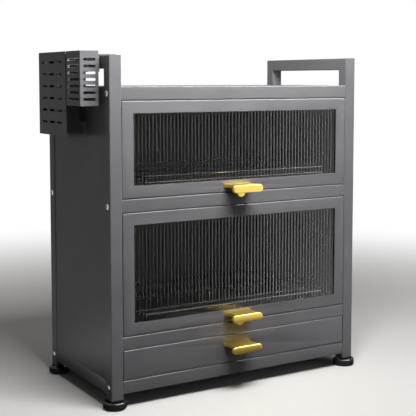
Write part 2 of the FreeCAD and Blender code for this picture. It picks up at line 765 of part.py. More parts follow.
def handle(label, opening, rise):
    body = doc.addObject("PartDesign::Body", label + "_body")
    start = "sizes.handle_reach - sizes.handle_bar_depth"
    bar_outline = sketch_on(body, label + "_bar_sketch", "XZ_Plane", start)
    stadium(bar_outline, "0", "0", "sizes.handle_width", "sizes.handle_height")
    bar = pad(body, label + "_bar", bar_outline, "sizes.handle_bar_depth")
    doc.recompute()
    edges = []
    for index, edge in enumerate(bar.Shape.Edges, start=1):
        ys = [vertex.Point.y for vertex in edge.Vertexes]
        if max(ys) - min(ys) < 1e-6:
            edges.append(f"Edge{index}")
    soft = body.newObject("PartDesign::Fillet", label + "_soft")
    soft.Base = (bar, edges)
    soft.setExpression("Radius", "sizes.handle_round")
    under = "sizes.handle_height / 2 - sizes.neck_thick"
    neck_sketch = sketch_on(body, label + "_neck_sketch", "XY_Plane", under)
    neck_outline(neck_sketch)
    pad(body, label + "_neck", neck_sketch, "sizes.neck_thick")
    boss_sketch = sketch_on(body, label + "_boss_sketch", "XZ_Plane")
    drop = f"{under} + 1 - sizes.boss_radius"
    radius = num("sizes.boss_radius")
    boss_sketch.addGeometry(Part.Circle(vector("0", drop), Z_AXIS, radius))
    corner_size(boss_sketch, 0, 3, "0", drop)
    index = boss_sketch.addConstraint(Sketcher.Constraint("Radius", 0, radius))
    boss_sketch.setExpression(f"Constraints[{index}]", "sizes.boss_radius")
    pad(body, label + "_boss", boss_sketch, "sizes.boss_length")
    place(body, "sizes.handle_shift", FACE, f"{opening} + {rise}")
    tools = []
    for side in (LEFT, RIGHT):
        hole = handle_screw_line(opening, rise, side, f"{FACE} - sizes.screw_grip - 1")
        radius = "sizes.screw_radius + sizes.stem_play"
        length = "sizes.screw_grip + 2"
        tools.append(rod(f"{label}_tap_{side + 1}", "Y", radius, hole, length))
    keep(label, cut(label, body, tools))


def handle_screw_line(opening, rise, side, y):
    """Where a handle's screw passes: within the neck plate's thickness."""
    x = f"sizes.handle_shift + {side} * sizes.handle_screws / 2"
    z = f"{opening} + {rise} + sizes.handle_screw_rise"
    return (x, y, z)


def handle_screws(label, opening, rise, seat):
    """Two screws from the inside, their heads on a seat behind the front."""
    screws = []
    for side in (LEFT, RIGHT):
        name = f"{label}_{side + 1}"
        length = f"({seat}) - ({FACE}) + sizes.screw_grip"
        start = handle_screw_line(opening, rise, side, f"{FACE} - sizes.screw_grip")
        shank = rod(name + "_shank", "Y", "sizes.screw_radius", start, length)
        at = handle_screw_line(opening, rise, side, seat)
        height = "sizes.screw_head_height"
        head = rod(name + "_head", "Y", "sizes.screw_head_radius", at, height)
        screws.append(joined(name, [shank, head]))
    keep(label, group(label, screws))


def screw_cutters(name, opening, rise, radius, start, end):
    """Holes along a handle's screw lines between two depths."""
    holes = []
    for side in (LEFT, RIGHT):
        at = handle_screw_line(opening, rise, side, start)
        length = f"({end}) - ({start})"
        holes.append(rod(f"{name}_{side + 1}", "Y", radius, at, length))
    return holes


# Doors: a folded front frame, a fluted pane and an inner frame that holds it


def door(name):
    low, high, rise = DOORS[name]
    bottom = f"{low} + sizes.bottom_gap"
    window_z = (f"{low} + sizes.window_border", f"{high} - sizes.window_border")
    window_y = (f"{FACE} - {CUTTER}", f"levels.door_back + {CUTTER}")
    y = (FACE, "levels.door_back")
    pin_from = "levels.door_x - sizes.pin_grip"
    hole_play = "sizes.screw_radius + sizes.hole_play"

    def pin_bores(prefix, radius):
        bores = []
        for side in (LEFT, RIGHT):
            length = f"sizes.pin_grip + {CUTTER}"
            start = (side_start(side, pin_from, length), "levels.hinge_y", hinge_z(name))
            bores.append(rod(f"{prefix}_{side + 1}", "X", radius, start, length))
        return bores

    frame_name = f"{name}_door_frame"
    pressed = pan(frame_name + "_pan", both("levels.door_x"), y, (bottom, door_top(name)), "+y")
    window = box(frame_name + "_window", both("levels.window_x"), window_y, window_z)
    bores = pin_bores(frame_name + "_bore", "sizes.pin_radius + sizes.pin_play")
    front_end = f"{FACE} + {SHEET} + 1"
    taps = screw_cutters(frame_name + "_tap", low, rise, hole_play, f"{FACE} - 1", front_end)
    keep(frame_name, cut(frame_name, pressed, [window] + bores + taps))

    pane_x = "(levels.window_x + sizes.glass_lap)"
    pane_z = (f"{window_z[0]} - sizes.glass_lap", f"{window_z[1]} + sizes.glass_lap")
    fluted_pane(f"{name}_door_pane", pane_x, f"{FACE} + {SHEET}", pane_z)

    inner_name = f"{name}_door_inner_frame"
    rim = f"({SHEET} + sizes.fit / 2)"
    inner = box(
        inner_name + "_block",
        both(f"levels.door_x - {rim}"),
        (f"{FACE} + {SHEET}", "levels.door_back"),
        (f"{bottom} + {rim}", f"{door_top(name)} - {rim}"),
    )
    pocket = box(
        inner_name + "_pocket",
        both(f"{pane_x} + sizes.fit"),
        (f"{FACE} - {CUTTER}", f"{FACE} + {SHEET} + sizes.glass_thick"),
        (f"{pane_z[0]} - sizes.fit", f"{pane_z[1]} + sizes.fit"),
    )
    hole = box(inner_name + "_window", both("levels.window_x"), window_y, window_z)
    bores = pin_bores(inner_name + "_bore", "sizes.pin_radius + sizes.pin_play")
    seat = "levels.door_back - sizes.screw_head_height - sizes.fit"
    taps = screw_cutters(inner_name + "_tap", low, rise, hole_play, FACE, seat)
    sinks = screw_cutters(
        inner_name + "_sink",
        low,
        rise,
        "sizes.screw_head_radius + sizes.hole_play",
        seat,
        f"levels.door_back + {CUTTER}",
    )
    keep(inner_name, cut(inner_name, inner, [pocket, hole] + bores + taps + sinks))

    pins = []
    for side in (LEFT, RIGHT):
        length = "sizes.pin_grip + sizes.side_gap + sizes.bush_length - 1"
        start = (side_start(side, pin_from, length), "levels.hinge_y", hinge_z(name))
        pins.append(rod(f"{name}_pin_{side + 1}", "X", "sizes.pin_radius", start, length))
    keep(f"{name}_hinge_pins", group(f"{name}_hinge_pins", pins))

    handle(f"{name}_handle", low, rise)
    handle_screws(f"{name}_handle_screws", low, rise, seat)


def fluted_pane(label, half_width, y_front, z):
    """A pane with round ribs up its front and a flat back."""
    left = -num(half_width)
    count = round(-2 * left / num("sizes.flute_pitch"))
    pitch = -2 * left / count
    front = num(y_front)
    valley = front + num("sizes.flute_depth")
    back = front + num("sizes.glass_thick")
    dx = num("levels.centre_x")
    dy = num("levels.centre_y")
    low = num(z[0])

    def point(x, y):
        return FreeCAD.Vector(x + dx, y + dy, low)

    edges = []
    for index in range(count):
        start = left + index * pitch
        crest = point(start + pitch / 2, front)
        arc = Part.Arc(point(start, valley), crest, point(start + pitch, valley))
        edges.append(arc.toShape())
    edges.append(Part.makeLine(point(-left, valley), point(-left, back)))
    edges.append(Part.makeLine(point(-left, back), point(left, back)))
    edges.append(Part.makeLine(point(left, back), point(left, valley)))
    outline = Part.Face(Part.Wire(edges))
    pane = doc.addObject("Part::Feature", label)
    pane.Shape = outline.extrude(FreeCAD.Vector(0, 0, num(z[1]) - low))
    keep(label, pane)


for name in DOORS:
    door(name)

# Hinge bushes in the front posts


def hinge_bushes():
    bushes = []
    for name in DOORS:
        for side in (LEFT, RIGHT):
            bush = f"bush_{name}_{side + 1}"
            flange_length = "sizes.bush_flange"
            flange_from = f"{INNER_W} - sizes.bush_flange"
            y = "levels.hinge_y"
            z = hinge_z(name)
            start = (side_start(side, flange_from, flange_length), y, z)
            flange_radius = "sizes.bush_flange_radius - sizes.fit"
            flange = rod(bush + "_flange", "X", flange_radius, start, flange_length)
            start = (side_start(side, INNER_W, "sizes.bush_length"), y, z)
            barrel = rod(bush + "_barrel", "X", "sizes.bush_radius", start, "sizes.bush_length")
            length = f"sizes.bush_length + 2 * {CUTTER}"
            start = (side_start(side, f"{INNER_W} - {CUTTER}", length), y, z)
            bore_radius = "sizes.pin_radius + sizes.pin_play"
            bore = rod(bush + "_bore", "X", bore_radius, start, length)
            bushes.append(cut(bush, joined(bush + "_solid", [flange, barrel]), [bore]))
    keep("hinge_bushes", group("hinge_bushes", bushes))


def magnet_catches():
    """Two blocks on the shelves that the closed doors rest against."""
    blocks = []
    for name, (low, _, _) in DOORS.items():
        x_end = f"{INNER_W} - sizes.catch_inset"
        x = (f"{x_end} - sizes.catch_width", x_end)
        y_from = "levels.door_back"
        y = (y_from, f"{y_from} + sizes.catch_size")
        blocks.append(box(f"catch_{name}", x, y, (low, f"{low} + sizes.catch_size")))
    keep("magnet_catches", group("magnet_catches", blocks))


hinge_bushes()
magnet_catches()

# Drawer: a folded front, a sheet box, and runners with a member on each side


def drawer():
    low = "levels.z_drawer"
    rise = "(sizes.drawer_opening / 2 + sizes.drawer_handle_rise)"
    hole = "sizes.screw_radius + sizes.hole_play"
    front_z = (f"{low} + sizes.bottom_gap", "levels.z_lower_lip - sizes.bottom_gap")
    y = (FACE, "levels.drawer_face_back")
    block = box("drawer_front_block", both("levels.door_x"), y, front_z)
    room = box(
        "drawer_front_room",
        both(f"levels.door_x - {SHEET}"),
        (f"{FACE} + {SHEET}", f"levels.drawer_face_back - {SHEET}"),
        (f"{front_z[0]} + {SHEET}", f"{front_z[1]} - {SHEET}"),
    )
    mouth = box(
        "drawer_front_mouth",
        both("levels.door_x - sizes.front_lip"),
        (f"{FACE} + {SHEET}", f"levels.drawer_face_back + {CUTTER}"),
        (f"{front_z[0]} + sizes.front_lip", f"{front_z[1]} - sizes.front_lip"),
    )
    start = f"{FACE} - 1"
    taps = screw_cutters("drawer_front_tap", low, rise, hole, start, f"{FACE} + {SHEET} + 1")
    keep("drawer_front", cut("drawer_front", block, [room, mouth] + taps))

    box_y = ("levels.drawer_face_back", "levels.drawer_back")
    box_z = (f"{low} + sizes.drawer_lift", "levels.z_lower_lip - sizes.drawer_headroom")
    tray = pan("drawer_box_pan", both("levels.runner_x"), box_y, box_z, "+z")
    start = "levels.drawer_face_back - 1"
    end = f"levels.drawer_face_back + {CUTTER}"
    taps = screw_cutters("drawer_box_tap", low, rise, hole, start, end)
    keep("drawer_box", cut("drawer_box", tray, taps))

    handle("drawer_handle", low, rise)
    seat = f"levels.drawer_face_back + {SHEET}"
    handle_screws("drawer_handle_screws", low, rise, seat)

    outer = []
    inner = []
    wall = "sizes.runner_sheet"
    runner_y = ("levels.runner_front", "levels.runner_back")
    for side in (LEFT, RIGHT):
        name = f"runner_{side + 1}"
        x = span(side, "levels.runner_x + 2", INNER_W)
        z = about("levels.runner_z", "sizes.runner_height")
        x_open = "-x" if side > 0 else "+x"
        channel = pan(name + "_channel", x, runner_y, z, x_open, wall)
        ends = box(
            name + "_ends",
            span(side, "levels.runner_x", f"{INNER_W} - {wall}"),
            (f"{runner_y[0]} - {CUTTER}", f"{runner_y[1]} - {wall}"),
            about("levels.runner_z", f"sizes.runner_height - 2 * {wall}"),
        )
        outer.append(cut(name + "_outer", channel, [ends]))
        x = span(side, "levels.runner_x", f"{INNER_W} - {wall} - 1")
        core_y = (runner_y[0], f"{runner_y[1]} - {wall} - 2")
        core_z = about("levels.runner_z", "sizes.runner_core")
        core_open = "+x" if side > 0 else "-x"
        inner.append(pan(name + "_inner", x, core_y, core_z, core_open, wall))
    keep("cabinet_runners", group("cabinet_runners", outer))
    keep("drawer_runners", group("drawer_runners", inner))


drawer()

# Wire racks: an outline wire, thin rungs butted into it and legs in the drip tray


def point_at(x, y, z):
    return FreeCAD.Vector(x + num("levels.centre_x"), y + num("levels.centre_y"), z)


def wire(start, end, radius):
    """A straight piece of wire between two points."""
    return Part.makeCylinder(radius, (end - start).Length, start, end - start)


def rack_sides():
    """The x of the side wires and the y of the front and back wires."""
    shift = num("sizes.rack_shift")
    reach = num("levels.rack_x")
    return (shift - reach, shift + reach, num("levels.rack_front"), num("levels.rack_back"))


def outline_wires(z, radius):
    """A rectangle of wire with a ball of the same radius at each corner."""
    left, right, front, back = rack_sides()
    corners = [(left, front), (right, front), (right, back), (left, back)]
    pieces = []
    for index, (x, y) in enumerate(corners):
        start = point_at(x, y, z)
        next_x, next_y = corners[(index + 1) % 4]
        pieces.append(wire(start, point_at(next_x, next_y, z), radius))
        pieces.append(Part.makeSphere(radius, start))
    return pieces


def rung_places():
    middle = num("sizes.rack_shift")
    pitch = num("sizes.rung_pitch")
    count = count_in("2 * levels.rack_x - 2 * sizes.rung_margin", "sizes.rung_pitch")
    return [middle + (index - (count - 1) / 2) * pitch for index in range(count)]


def rack_legs(label, shelf_z, z, rack):
    """Four legs from the tray's floor, each welded up against the outline wire."""
    left, right, front, back = rack_sides()
    thick = num("sizes.frame_wire")
    floor = shelf_z + num("sizes.tray_wall")
    legs = []
    for x in (left, right):
        for y in (front, back):
            leg = wire(point_at(x, y, floor), point_at(x, y, z - thick / 2), thick)
            legs.append(leg.cut(rack).Solids[0])
    feet = doc.addObject("Part::Feature", label)
    feet.Shape = Part.makeCompound(legs)
    keep(label, feet)


def welded(label, pieces):
    rack = doc.addObject("Part::Feature", label)
    rack.Shape = pieces[0].multiFuse(pieces[1:])
    if rack.Shape.ShapeType == "Compound" and len(rack.Shape.Solids) == 1:
        rack.Shape = rack.Shape.Solids[0]
    keep(label, rack)
    return rack.Shape


def bowl_rack():
    left, right, front, back = rack_sides()
    shelf_z = num("levels.z_middle")
    z = shelf_z + num("sizes.bowl_rack_height")
    guard = z + num("sizes.guard_rise")
    thick = num("sizes.frame_wire")
    thin = num("sizes.rung_wire")
    pieces = outline_wires(z, thick)
    for x in rung_places():
        pieces.append(wire(point_at(x, front, z), point_at(x, back, z), thin))
    stays = (front + (back - front) / 3, front + 2 * (back - front) / 3)
    below = z - 2 * thin + 0.4
    for y in stays:
        ends = (point_at(rung_places()[0] - 5, y, below), point_at(rung_places()[-1] + 5, y, below))
        pieces.append(wire(ends[0], ends[1], thin))
    rack_legs("bowl_rack_legs", shelf_z, z, welded("bowl_rack", pieces))
    pieces = outline_wires(guard, thin)
    for x in (left, (left + right) / 2, right):
        for y in (front, back):
            pieces.append(wire(point_at(x, y, z + thick), point_at(x, y, guard), thin))
    welded("bowl_rack_guard", pieces)


def divider_wires():
    """The y of the wires that carry the dividers' legs: two for each row."""
    first = num("levels.rack_front + sizes.divider_setback")
    width = num("sizes.divider_width")
    rows = num("sizes.divider_rows")
    return [(first, first + width), (first + rows, first + rows + width)]


def plate_rack():
    left, right, front, back = rack_sides()
    shelf_z = num("levels.z_lower")
    z = shelf_z + num("sizes.plate_rack_height")
    thin = num("sizes.rung_wire")
    pieces = outline_wires(z, num("sizes.frame_wire"))
    for row in divider_wires():
        for y in row:
            pieces.append(wire(point_at(left, y, z), point_at(right, y, z), thin))
    rack_legs("plate_rack_legs", shelf_z, z, welded("plate_rack", pieces))


def plate_dividers():
    """Upright loops of wire, two rows of them, welded on the rack's cross wires."""
    z = num("levels.z_lower + sizes.plate_rack_height + sizes.rung_wire")
    thin = num("sizes.rung_wire")
    top = z + num("sizes.divider_height") - thin
    bend = num("sizes.divider_round")
    middle = bend * (1 - math.sqrt(0.5))
    loops = []
    for y_front, y_back in divider_wires():
        for x in rung_places():
            points = [
                point_at(x, y_front, z),
                point_at(x, y_front, top - bend),
                point_at(x, y_front + middle, top - middle),
                point_at(x, y_front + bend, top),
                point_at(x, y_back - bend, top),
                point_at(x, y_back - middle, top - middle),
                point_at(x, y_back, top - bend),
                point_at(x, y_back, z),
            ]
            path = Part.Wire(
                [
                    Part.makeLine(points[0], points[1]),
                    Part.Arc(*points[1:4]).toShape(),
                    Part.makeLine(points[3], points[4]),
                    Part.Arc(*points[4:7]).toShape(),
                    Part.makeLine(points[6], points[7]),
                ]
            )
            section = Part.Wire([Part.makeCircle(thin, points[0], Z_AXIS)])
            loops.append(path.makePipeShell([section], True, True))
    dividers = doc.addObject("Part::Feature", "plate_dividers")
    dividers.Shape = Part.makeCompound(loops)
    keep("plate_dividers", dividers)


def drip_tray(label, shelf_z):
    x_reach = "levels.rack_x + sizes.tray_margin"
    x = (f"sizes.rack_shift - ({x_reach})", f"sizes.rack_shift + ({x_reach})")
    y_front = "levels.door_back + sizes.fit"
    y = (y_front, "levels.rack_back + sizes.tray_margin")
    z = (shelf_z, f"{shelf_z} + sizes.tray_height")
    keep(label, pan(label, x, y, z, "+z", "sizes.tray_wall"))


bowl_rack()
plate_rack()
plate_dividers()
drip_tray("upper_drip_tray", "levels.z_middle")
drip_tray("lower_drip_tray", "levels.z_lower")

# Feet: a ribbed wheel on a soft pad, screwed into a plug in the post

FOOT_PLACES = {
    "front_left": (LEFT, FRONT),
    "front_right": (RIGHT, FRONT),
    "back_left": (LEFT, BACK),
    "back_right": (RIGHT, BACK),
}


def ribbed_disc(radius, height, base):
    """A disc whose edge is a ring of small round ribs."""
    depth = radius * 0.012
    edges = []
    step = 2 * math.pi / WHEEL_RIBS
    for index in range(WHEEL_RIBS):
        points = []
        for share, reach in ((-0.5, radius - depth), (0, radius), (0.5, radius - depth)):
            angle = (index + share) * step
            offset = FreeCAD.Vector(reach * math.cos(angle), reach * math.sin(angle), 0)
            points.append(base + offset)
        edges.append(Part.Arc(*points).toShape())
    return Part.Face(Part.Wire(edges)).extrude(FreeCAD.Vector(0, 0, height))


def foot_wheel(label, x, y):
    pad_top = num("sizes.pad_thick")
    height = num("sizes.wheel_height")
    radius = num("sizes.wheel_radius")
    bevel = num("sizes.wheel_chamfer")
    recess = num("sizes.wheel_recess")
    base = point_at(x, y, pad_top)
    disc = ribbed_disc(radius, height, base)
    lift = FreeCAD.Vector(0, 0, height - bevel)
    low_cone = Part.makeCone(radius - bevel, radius, bevel, base)
    high_cone = Part.makeCone(radius, radius - bevel, bevel, base + lift)
    belt_height = height - 2 * bevel
    belt = Part.makeCylinder(radius, belt_height, base + FreeCAD.Vector(0, 0, bevel))
    disc = disc.common(low_cone.multiFuse([belt, high_cone]))
    hollow = base + FreeCAD.Vector(0, 0, height - recess)
    disc = disc.cut(Part.makeCylinder(radius - num("sizes.wheel_rim"), recess + 1, hollow))
    collar = Part.makeCylinder(num("sizes.collar_radius"), recess + num("sizes.collar_rise"), hollow)
    top = point_at(x, y, num("levels.z_plug"))
    stem = Part.makeCylinder(num("sizes.stem_radius"), num("levels.plug_top - levels.z_plug"), top)
    body = disc.multiFuse([collar, stem])
    socket_radius = num("sizes.pad_spigot_radius + sizes.stem_play")
    socket = Part.makeCylinder(socket_radius, num("sizes.pad_spigot + sizes.fit"), base)
    wheel = doc.addObject("Part::Feature", label)
    wheel.Shape = body.cut(socket).removeSplitter()
    keep(label, wheel)


def foot_pad(label, x, y):
    disc = rod(label + "_disc", "Z", "sizes.pad_radius", (x, y, "0"), "sizes.pad_thick")
    spigot_length = "sizes.pad_thick + sizes.pad_spigot"
    spigot = rod(label + "_spigot", "Z", "sizes.pad_spigot_radius", (x, y, "0"), spigot_length)
    keep(label, joined(label, [disc, spigot]))


def foot_plug(name, x, y):
    """A cap under the post with a square plug inside it, bored for the stem."""
    cap = box(
        name + "_cap",
        about(x, "sizes.post_size"),
        about(y, "sizes.post_size"),
        ("levels.z_plug", "levels.z_post"),
    )
    width = "sizes.post_size - 2 * sizes.tube_wall - sizes.fit / 2"
    block = box(
        name + "_block",
        about(x, width),
        about(y, width),
        ("levels.z_plug", "levels.plug_top"),
    )
    bore_at = (x, y, "levels.z_plug - 1")
    bore_radius = "sizes.stem_radius + sizes.stem_play"
    bore_length = "levels.plug_top - levels.z_plug + 2"
    bore = rod(name + "_bore", "Z", bore_radius, bore_at, bore_length)
    return cut(name, joined(name + "_solid", [cap, block]), [bore])


plugs = []
for place_name, (side, end) in FOOT_PLACES.items():
    foot_x = f"{side} * levels.post_x"
    foot_y = f"{end} * levels.post_y"
    foot_pad(f"foot_pad_{place_name}", foot_x, foot_y)
    foot_wheel(f"foot_wheel_{place_name}", num(foot_x), num(foot_y))
    plugs.append(foot_plug(f"foot_plug_{place_name}", foot_x, foot_y))
keep("foot_plugs", group("foot_plugs", plugs))

# Holders on the left side: sheet boxes with slots, hooked over the side rail


def pocket(body, name, sketch, length, through=False):
    feature = body.newObject("PartDesign::Pocket", name)
    feature.Profile = sketch
    if through:
        feature.Type = "ThroughAll"
        feature.Midplane = True
    else:
        feature.setExpression("Length", length)
    return feature


def row_pattern(body, name, feature, axis_role, length, count):
    """Repeat a feature along one of the body's axes."""
    pattern = body.newObject("PartDesign::LinearPattern", name)
    pattern.Originals = [feature]
    for axis in body.Origin.OriginFeatures:
        if axis.Role == axis_role:
            pattern.Direction = (axis, [""])
    pattern.setExpression("Length", length)
    pattern.Occurrences = count
    body.Tip = pattern
    return pattern


def holder_box(label, depth, length, height):
    """An open-topped sheet box; its corner is at the outer, front, lower corner."""
    body = doc.addObject("PartDesign::Body", label + "_body")
    outline = sketch_on(body, label + "_outline", "XY_Plane")
    rectangle(outline, ("0", depth), ("0", length))
    pad(body, label + "_block", outline, height)
    wall = "sizes.holder_wall"
    room = sketch_on(body, label + "_room_outline", "XY_Plane", height)
    rectangle(room, (wall, f"{depth} - {wall}"), (wall, f"{length} - {wall}"))
    pocket(body, label + "_room", room, f"{height} - {wall}")
    doc.recompute()
    return body


def cutlery_basket():
    label = "cutlery_basket"
    depth, length, height = "sizes.basket_depth", "sizes.basket_length", "sizes.basket_height"
    body = holder_box(label, depth, length, height)
    start = "sizes.basket_slot_start"
    rows = count_in(f"{height} - {start} - sizes.basket_rim", "sizes.basket_slot_pitch")
    reach = f"sizes.basket_slot_pitch * {rows - 1}"
    for face, role, across in (("side", "YZ_Plane", length), ("front", "XZ_Plane", depth)):
        sketch = sketch_on(body, f"{label}_{face}_slot", role)
        slot_length = f"({across} - 2 * sizes.basket_slot_margin)"
        stadium(sketch, f"{across} / 2", start, slot_length, "sizes.basket_slot")
        slot = pocket(body, f"{label}_{face}_cut", sketch, None, through=True)
        doc.recompute()
        row_pattern(body, f"{label}_{face}_rows", slot, "Z_Axis", reach, rows)
        doc.recompute()
    place(body, "-levels.reach_left", "levels.basket_y", f"levels.z_holder - {height}")
    keep(label, body)


def knife_holder():
    label = "knife_holder"
    depth, length, height = "sizes.knife_depth", "sizes.knife_length", "sizes.knife_height"
    body = holder_box(label, depth, length, height)
    gap = f"(sizes.holder_reach - {depth} - sizes.fit)"
    wall = "sizes.holder_wall"
    spacers = sketch_on(body, label + "_front_spacer", "XY_Plane")
    rectangle(spacers, (f"{depth} - {wall}", f"{depth} + {gap}"), ("0", wall))
    pad(body, label + "_front_ear", spacers, "sizes.spacer_height")
    spacers = sketch_on(body, label + "_back_spacer", "XY_Plane")
    rectangle(spacers, (f"{depth} - {wall}", f"{depth} + {gap}"), (f"{length} - {wall}", length))
    pad(body, label + "_back_ear", spacers, "sizes.spacer_height")
    doc.recompute()
    insert = "sizes.insert_sink + sizes.insert_height"
    upright = f"{height} - sizes.knife_row_start - {insert} - sizes.knife_vent_top"
    rows = count_in(upright, "sizes.knife_row_pitch")
    column_start = "sizes.knife_slot_start"
    across = f"{length} - {column_start} - sizes.knife_slot_length / 2 - sizes.knife_vent_side"
    columns = count_in(across, "sizes.knife_slot_pitch")
    for column in range(columns):
        sketch = sketch_on(body, f"{label}_slot_{column}", "YZ_Plane")
        middle = f"{column_start} + {column} * sizes.knife_slot_pitch"
        row_start = "sizes.knife_row_start"
        stadium(sketch, middle, row_start, "sizes.knife_slot_length", "sizes.knife_slot")
        slot = pocket(body, f"{label}_cut_{column}", sketch, None, through=True)
        doc.recompute()
        reach = f"sizes.knife_row_pitch * {rows - 1}"
        row_pattern(body, f"{label}_rows_{column}", slot, "Z_Axis", reach, rows)
        doc.recompute()
    place(body, "-levels.reach_left", "levels.knife_y", f"levels.z_holder - {height}")
    keep(label, body)


def knife_insert():
    """A block with a row of slots that stands inside the knife holder's mouth."""
    play = "sizes.holder_wall + sizes.fit / 2"
    x_low = f"-levels.reach_left + {play}"
    x_high = f"-levels.reach_left + sizes.knife_depth - ({play})"
    y_low = f"levels.knife_y + {play}"
    y_high = f"levels.knife_y + sizes.knife_length - ({play})"
    top = "levels.z_holder - sizes.insert_sink"
    z = (f"{top} - sizes.insert_height", top)
    block = box("knife_insert_block", (x_low, x_high), (y_low, y_high), z)
    slots = []
    middle_x = f"-levels.reach_left + sizes.knife_depth / 2"
    for index in range(BLADE_SLOTS):
        share = (index + 0.5) / BLADE_SLOTS
        middle_y = f"levels.knife_y + sizes.knife_length * {share}"
        slots.append(
            box(
                f"knife_insert_slot_{index}",
                about(middle_x, "sizes.blade_slot"),
                about(middle_y, "sizes.blade_slot_length"),
                (f"{z[0]} - {CUTTER}", f"{z[1]} + {CUTTER}"),
            )
        )
    keep("knife_insert", cut("knife_insert", block, slots))


def hook_straps(label, y_start, length, depth):
    """Two flat hooks: a leg on the holder's back, a bridge over the rail and a drop."""
    straps = []
    back = f"-levels.reach_left + {depth}"
    inside = f"-({INNER_W} - sizes.strap_play)"
    under = "levels.z_top"
    over = f"{under} + sizes.strap_thick"
    for index in (0, 1):
        name = f"{label}_{index}"
        middle = f"{y_start} + sizes.strap_inset + sizes.strap_width / 2"
        if index == 1:
            middle = f"{y_start} + {length} - sizes.strap_inset - sizes.strap_width / 2"
        y = about(middle, "sizes.strap_width")
        leg_x = (back, f"{back} + sizes.strap_thick")
        leg = box(name + "_leg", leg_x, y, (f"{over} - sizes.strap_leg", over))
        bridge = box(name + "_bridge", (back, f"{inside} + sizes.strap_thick"), y, (under, over))
        drop_x = (inside, f"{inside} + sizes.strap_thick")
        drop = box(name + "_drop", drop_x, y, (f"{over} - sizes.strap_drop", over))
        straps.append(joined(name, [leg, bridge, drop]))
    keep(label, group(label, straps))


cutlery_basket()
hook_straps("cutlery_basket_hooks", "levels.basket_y", "sizes.basket_length", "sizes.basket_depth")
knife_holder()
knife_insert()
hook_straps("knife_holder_hooks", "levels.knife_y", "sizes.knife_length", "sizes.knife_depth")

# Check every object, then write one file for each sub-part

doc.recompute()
for obj in doc.Objects:
    if "Invalid" in obj.State or "Error" in obj.State:
        raise RuntimeError(f"{obj.Name} has state {obj.State}")
os.makedirs("parts", exist_ok=True)
for label, obj in nodes.items():
    shape = obj.Shape
    if shape.isNull() or not shape.isValid() or not shape.Solids:
        raise RuntimeError(f"{label} has no valid solid")
    shape.exportStep(f"parts/{label}.step")
print(len(nodes), "sub-parts written")
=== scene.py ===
# %% [markdown]
# # A covered dish rack, dressed for its picture
# The solids of the rack come from the part's own model: posts, shelves, doors, drawer,
# racks, feet and holders, each where it belongs. This file gives them their finish, rounds
# the edges that a press or a paint booth leaves round, and rebuilds the pieces that are too
# curved for flat facets: fluted panes, bent wires, cast handles, wheels and bolt heads.
# All lengths are metres, X runs right, Y back and Z up.

# %% Load the solids
import json
import math

import bmesh
import bpy
import numpy as np
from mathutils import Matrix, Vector


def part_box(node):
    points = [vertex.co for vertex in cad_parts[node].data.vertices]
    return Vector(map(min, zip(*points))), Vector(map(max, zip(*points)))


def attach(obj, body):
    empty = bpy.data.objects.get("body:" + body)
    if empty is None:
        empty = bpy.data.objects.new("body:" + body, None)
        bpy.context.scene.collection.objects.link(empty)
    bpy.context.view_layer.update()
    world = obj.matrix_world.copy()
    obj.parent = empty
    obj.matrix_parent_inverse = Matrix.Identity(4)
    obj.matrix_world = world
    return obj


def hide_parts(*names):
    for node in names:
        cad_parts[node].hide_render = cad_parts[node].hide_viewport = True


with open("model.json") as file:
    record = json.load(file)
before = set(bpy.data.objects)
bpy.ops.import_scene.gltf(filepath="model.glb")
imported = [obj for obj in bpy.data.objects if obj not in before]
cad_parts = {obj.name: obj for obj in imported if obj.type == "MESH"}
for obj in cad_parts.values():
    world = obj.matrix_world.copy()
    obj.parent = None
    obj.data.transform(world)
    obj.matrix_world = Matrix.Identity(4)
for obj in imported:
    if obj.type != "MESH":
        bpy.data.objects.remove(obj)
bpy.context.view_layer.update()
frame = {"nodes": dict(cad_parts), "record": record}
MM = 0.001

# %% [markdown]
# ## The camera
# A photographer who keeps a cabinet's posts upright points the camera level and shifts the
# lens. Part of that shift is kept here and the rest is a small tilt, because the other views
# share the shift. The place, the turn and the focal length were fitted to the straight edges
# of posts, shelves and rails.

# %% Camera
PICTURE = 416  # pixels
FOCAL, SHIFT = 964.5, -50.0  # pixels
SENSOR = 36.0  # millimetres
TILT, TURN = -4.64, -31.27  # degrees
CABINET = Vector((0.019, 0.019, 0.0))  # the floor between the four posts
camera_data = bpy.data.cameras.new("camera")
camera_data.sensor_width = SENSOR
camera_data.lens = FOCAL * SENSOR / PICTURE
camera_data.shift_y = SHIFT / PICTURE
camera = bpy.data.objects.new("camera", camera_data)
bpy.context.scene.collection.objects.link(camera)
camera.location = CABINET + Vector((-1.274, -2.120, 0.752))
camera.rotation_euler = (math.radians(90.0 + TILT), 0.0, math.radians(TURN))
bpy.context.scene.camera = camera
print("lens:", round(camera_data.lens, 2), "mm")

# %% [markdown]
# ## Tools for finishes
# A colour is written as the hex code that a paint chart or a photograph gives, and one
# function turns it into the linear numbers that light is reckoned in. One more function adds
# a node to a material, with its settings and links, so that each finish reads as a short
# list of steps.

# %% Colour and node helpers


def linear(code):
    """A hex colour to linear: c / 12.92 in the shadows, ((c + 0.055) / 1.055)^2.4 above."""
    values = np.array([int(code[i:i + 2], 16) for i in (1, 3, 5)]) / 255.0
    curve = np.where(values <= 0.04045, values / 12.92, ((values + 0.055) / 1.055) ** 2.4)
    return (*(float(v) for v in curve), 1.0)


def add(tree, kind, inputs=None, **settings):
    """Adds a node: settings go on the node, inputs on its sockets, and a pair is a link."""
    made = tree.nodes.new(kind)
    for name, value in settings.items():
        setattr(made, name, value)
    for name, value in (inputs or {}).items():
        socket = made.inputs[name]
        if isinstance(value, tuple) and isinstance(value[0], bpy.types.Node):
            tree.links.new(value[0].outputs[value[1]], socket)
        else:
            socket.default_value = value
    return made


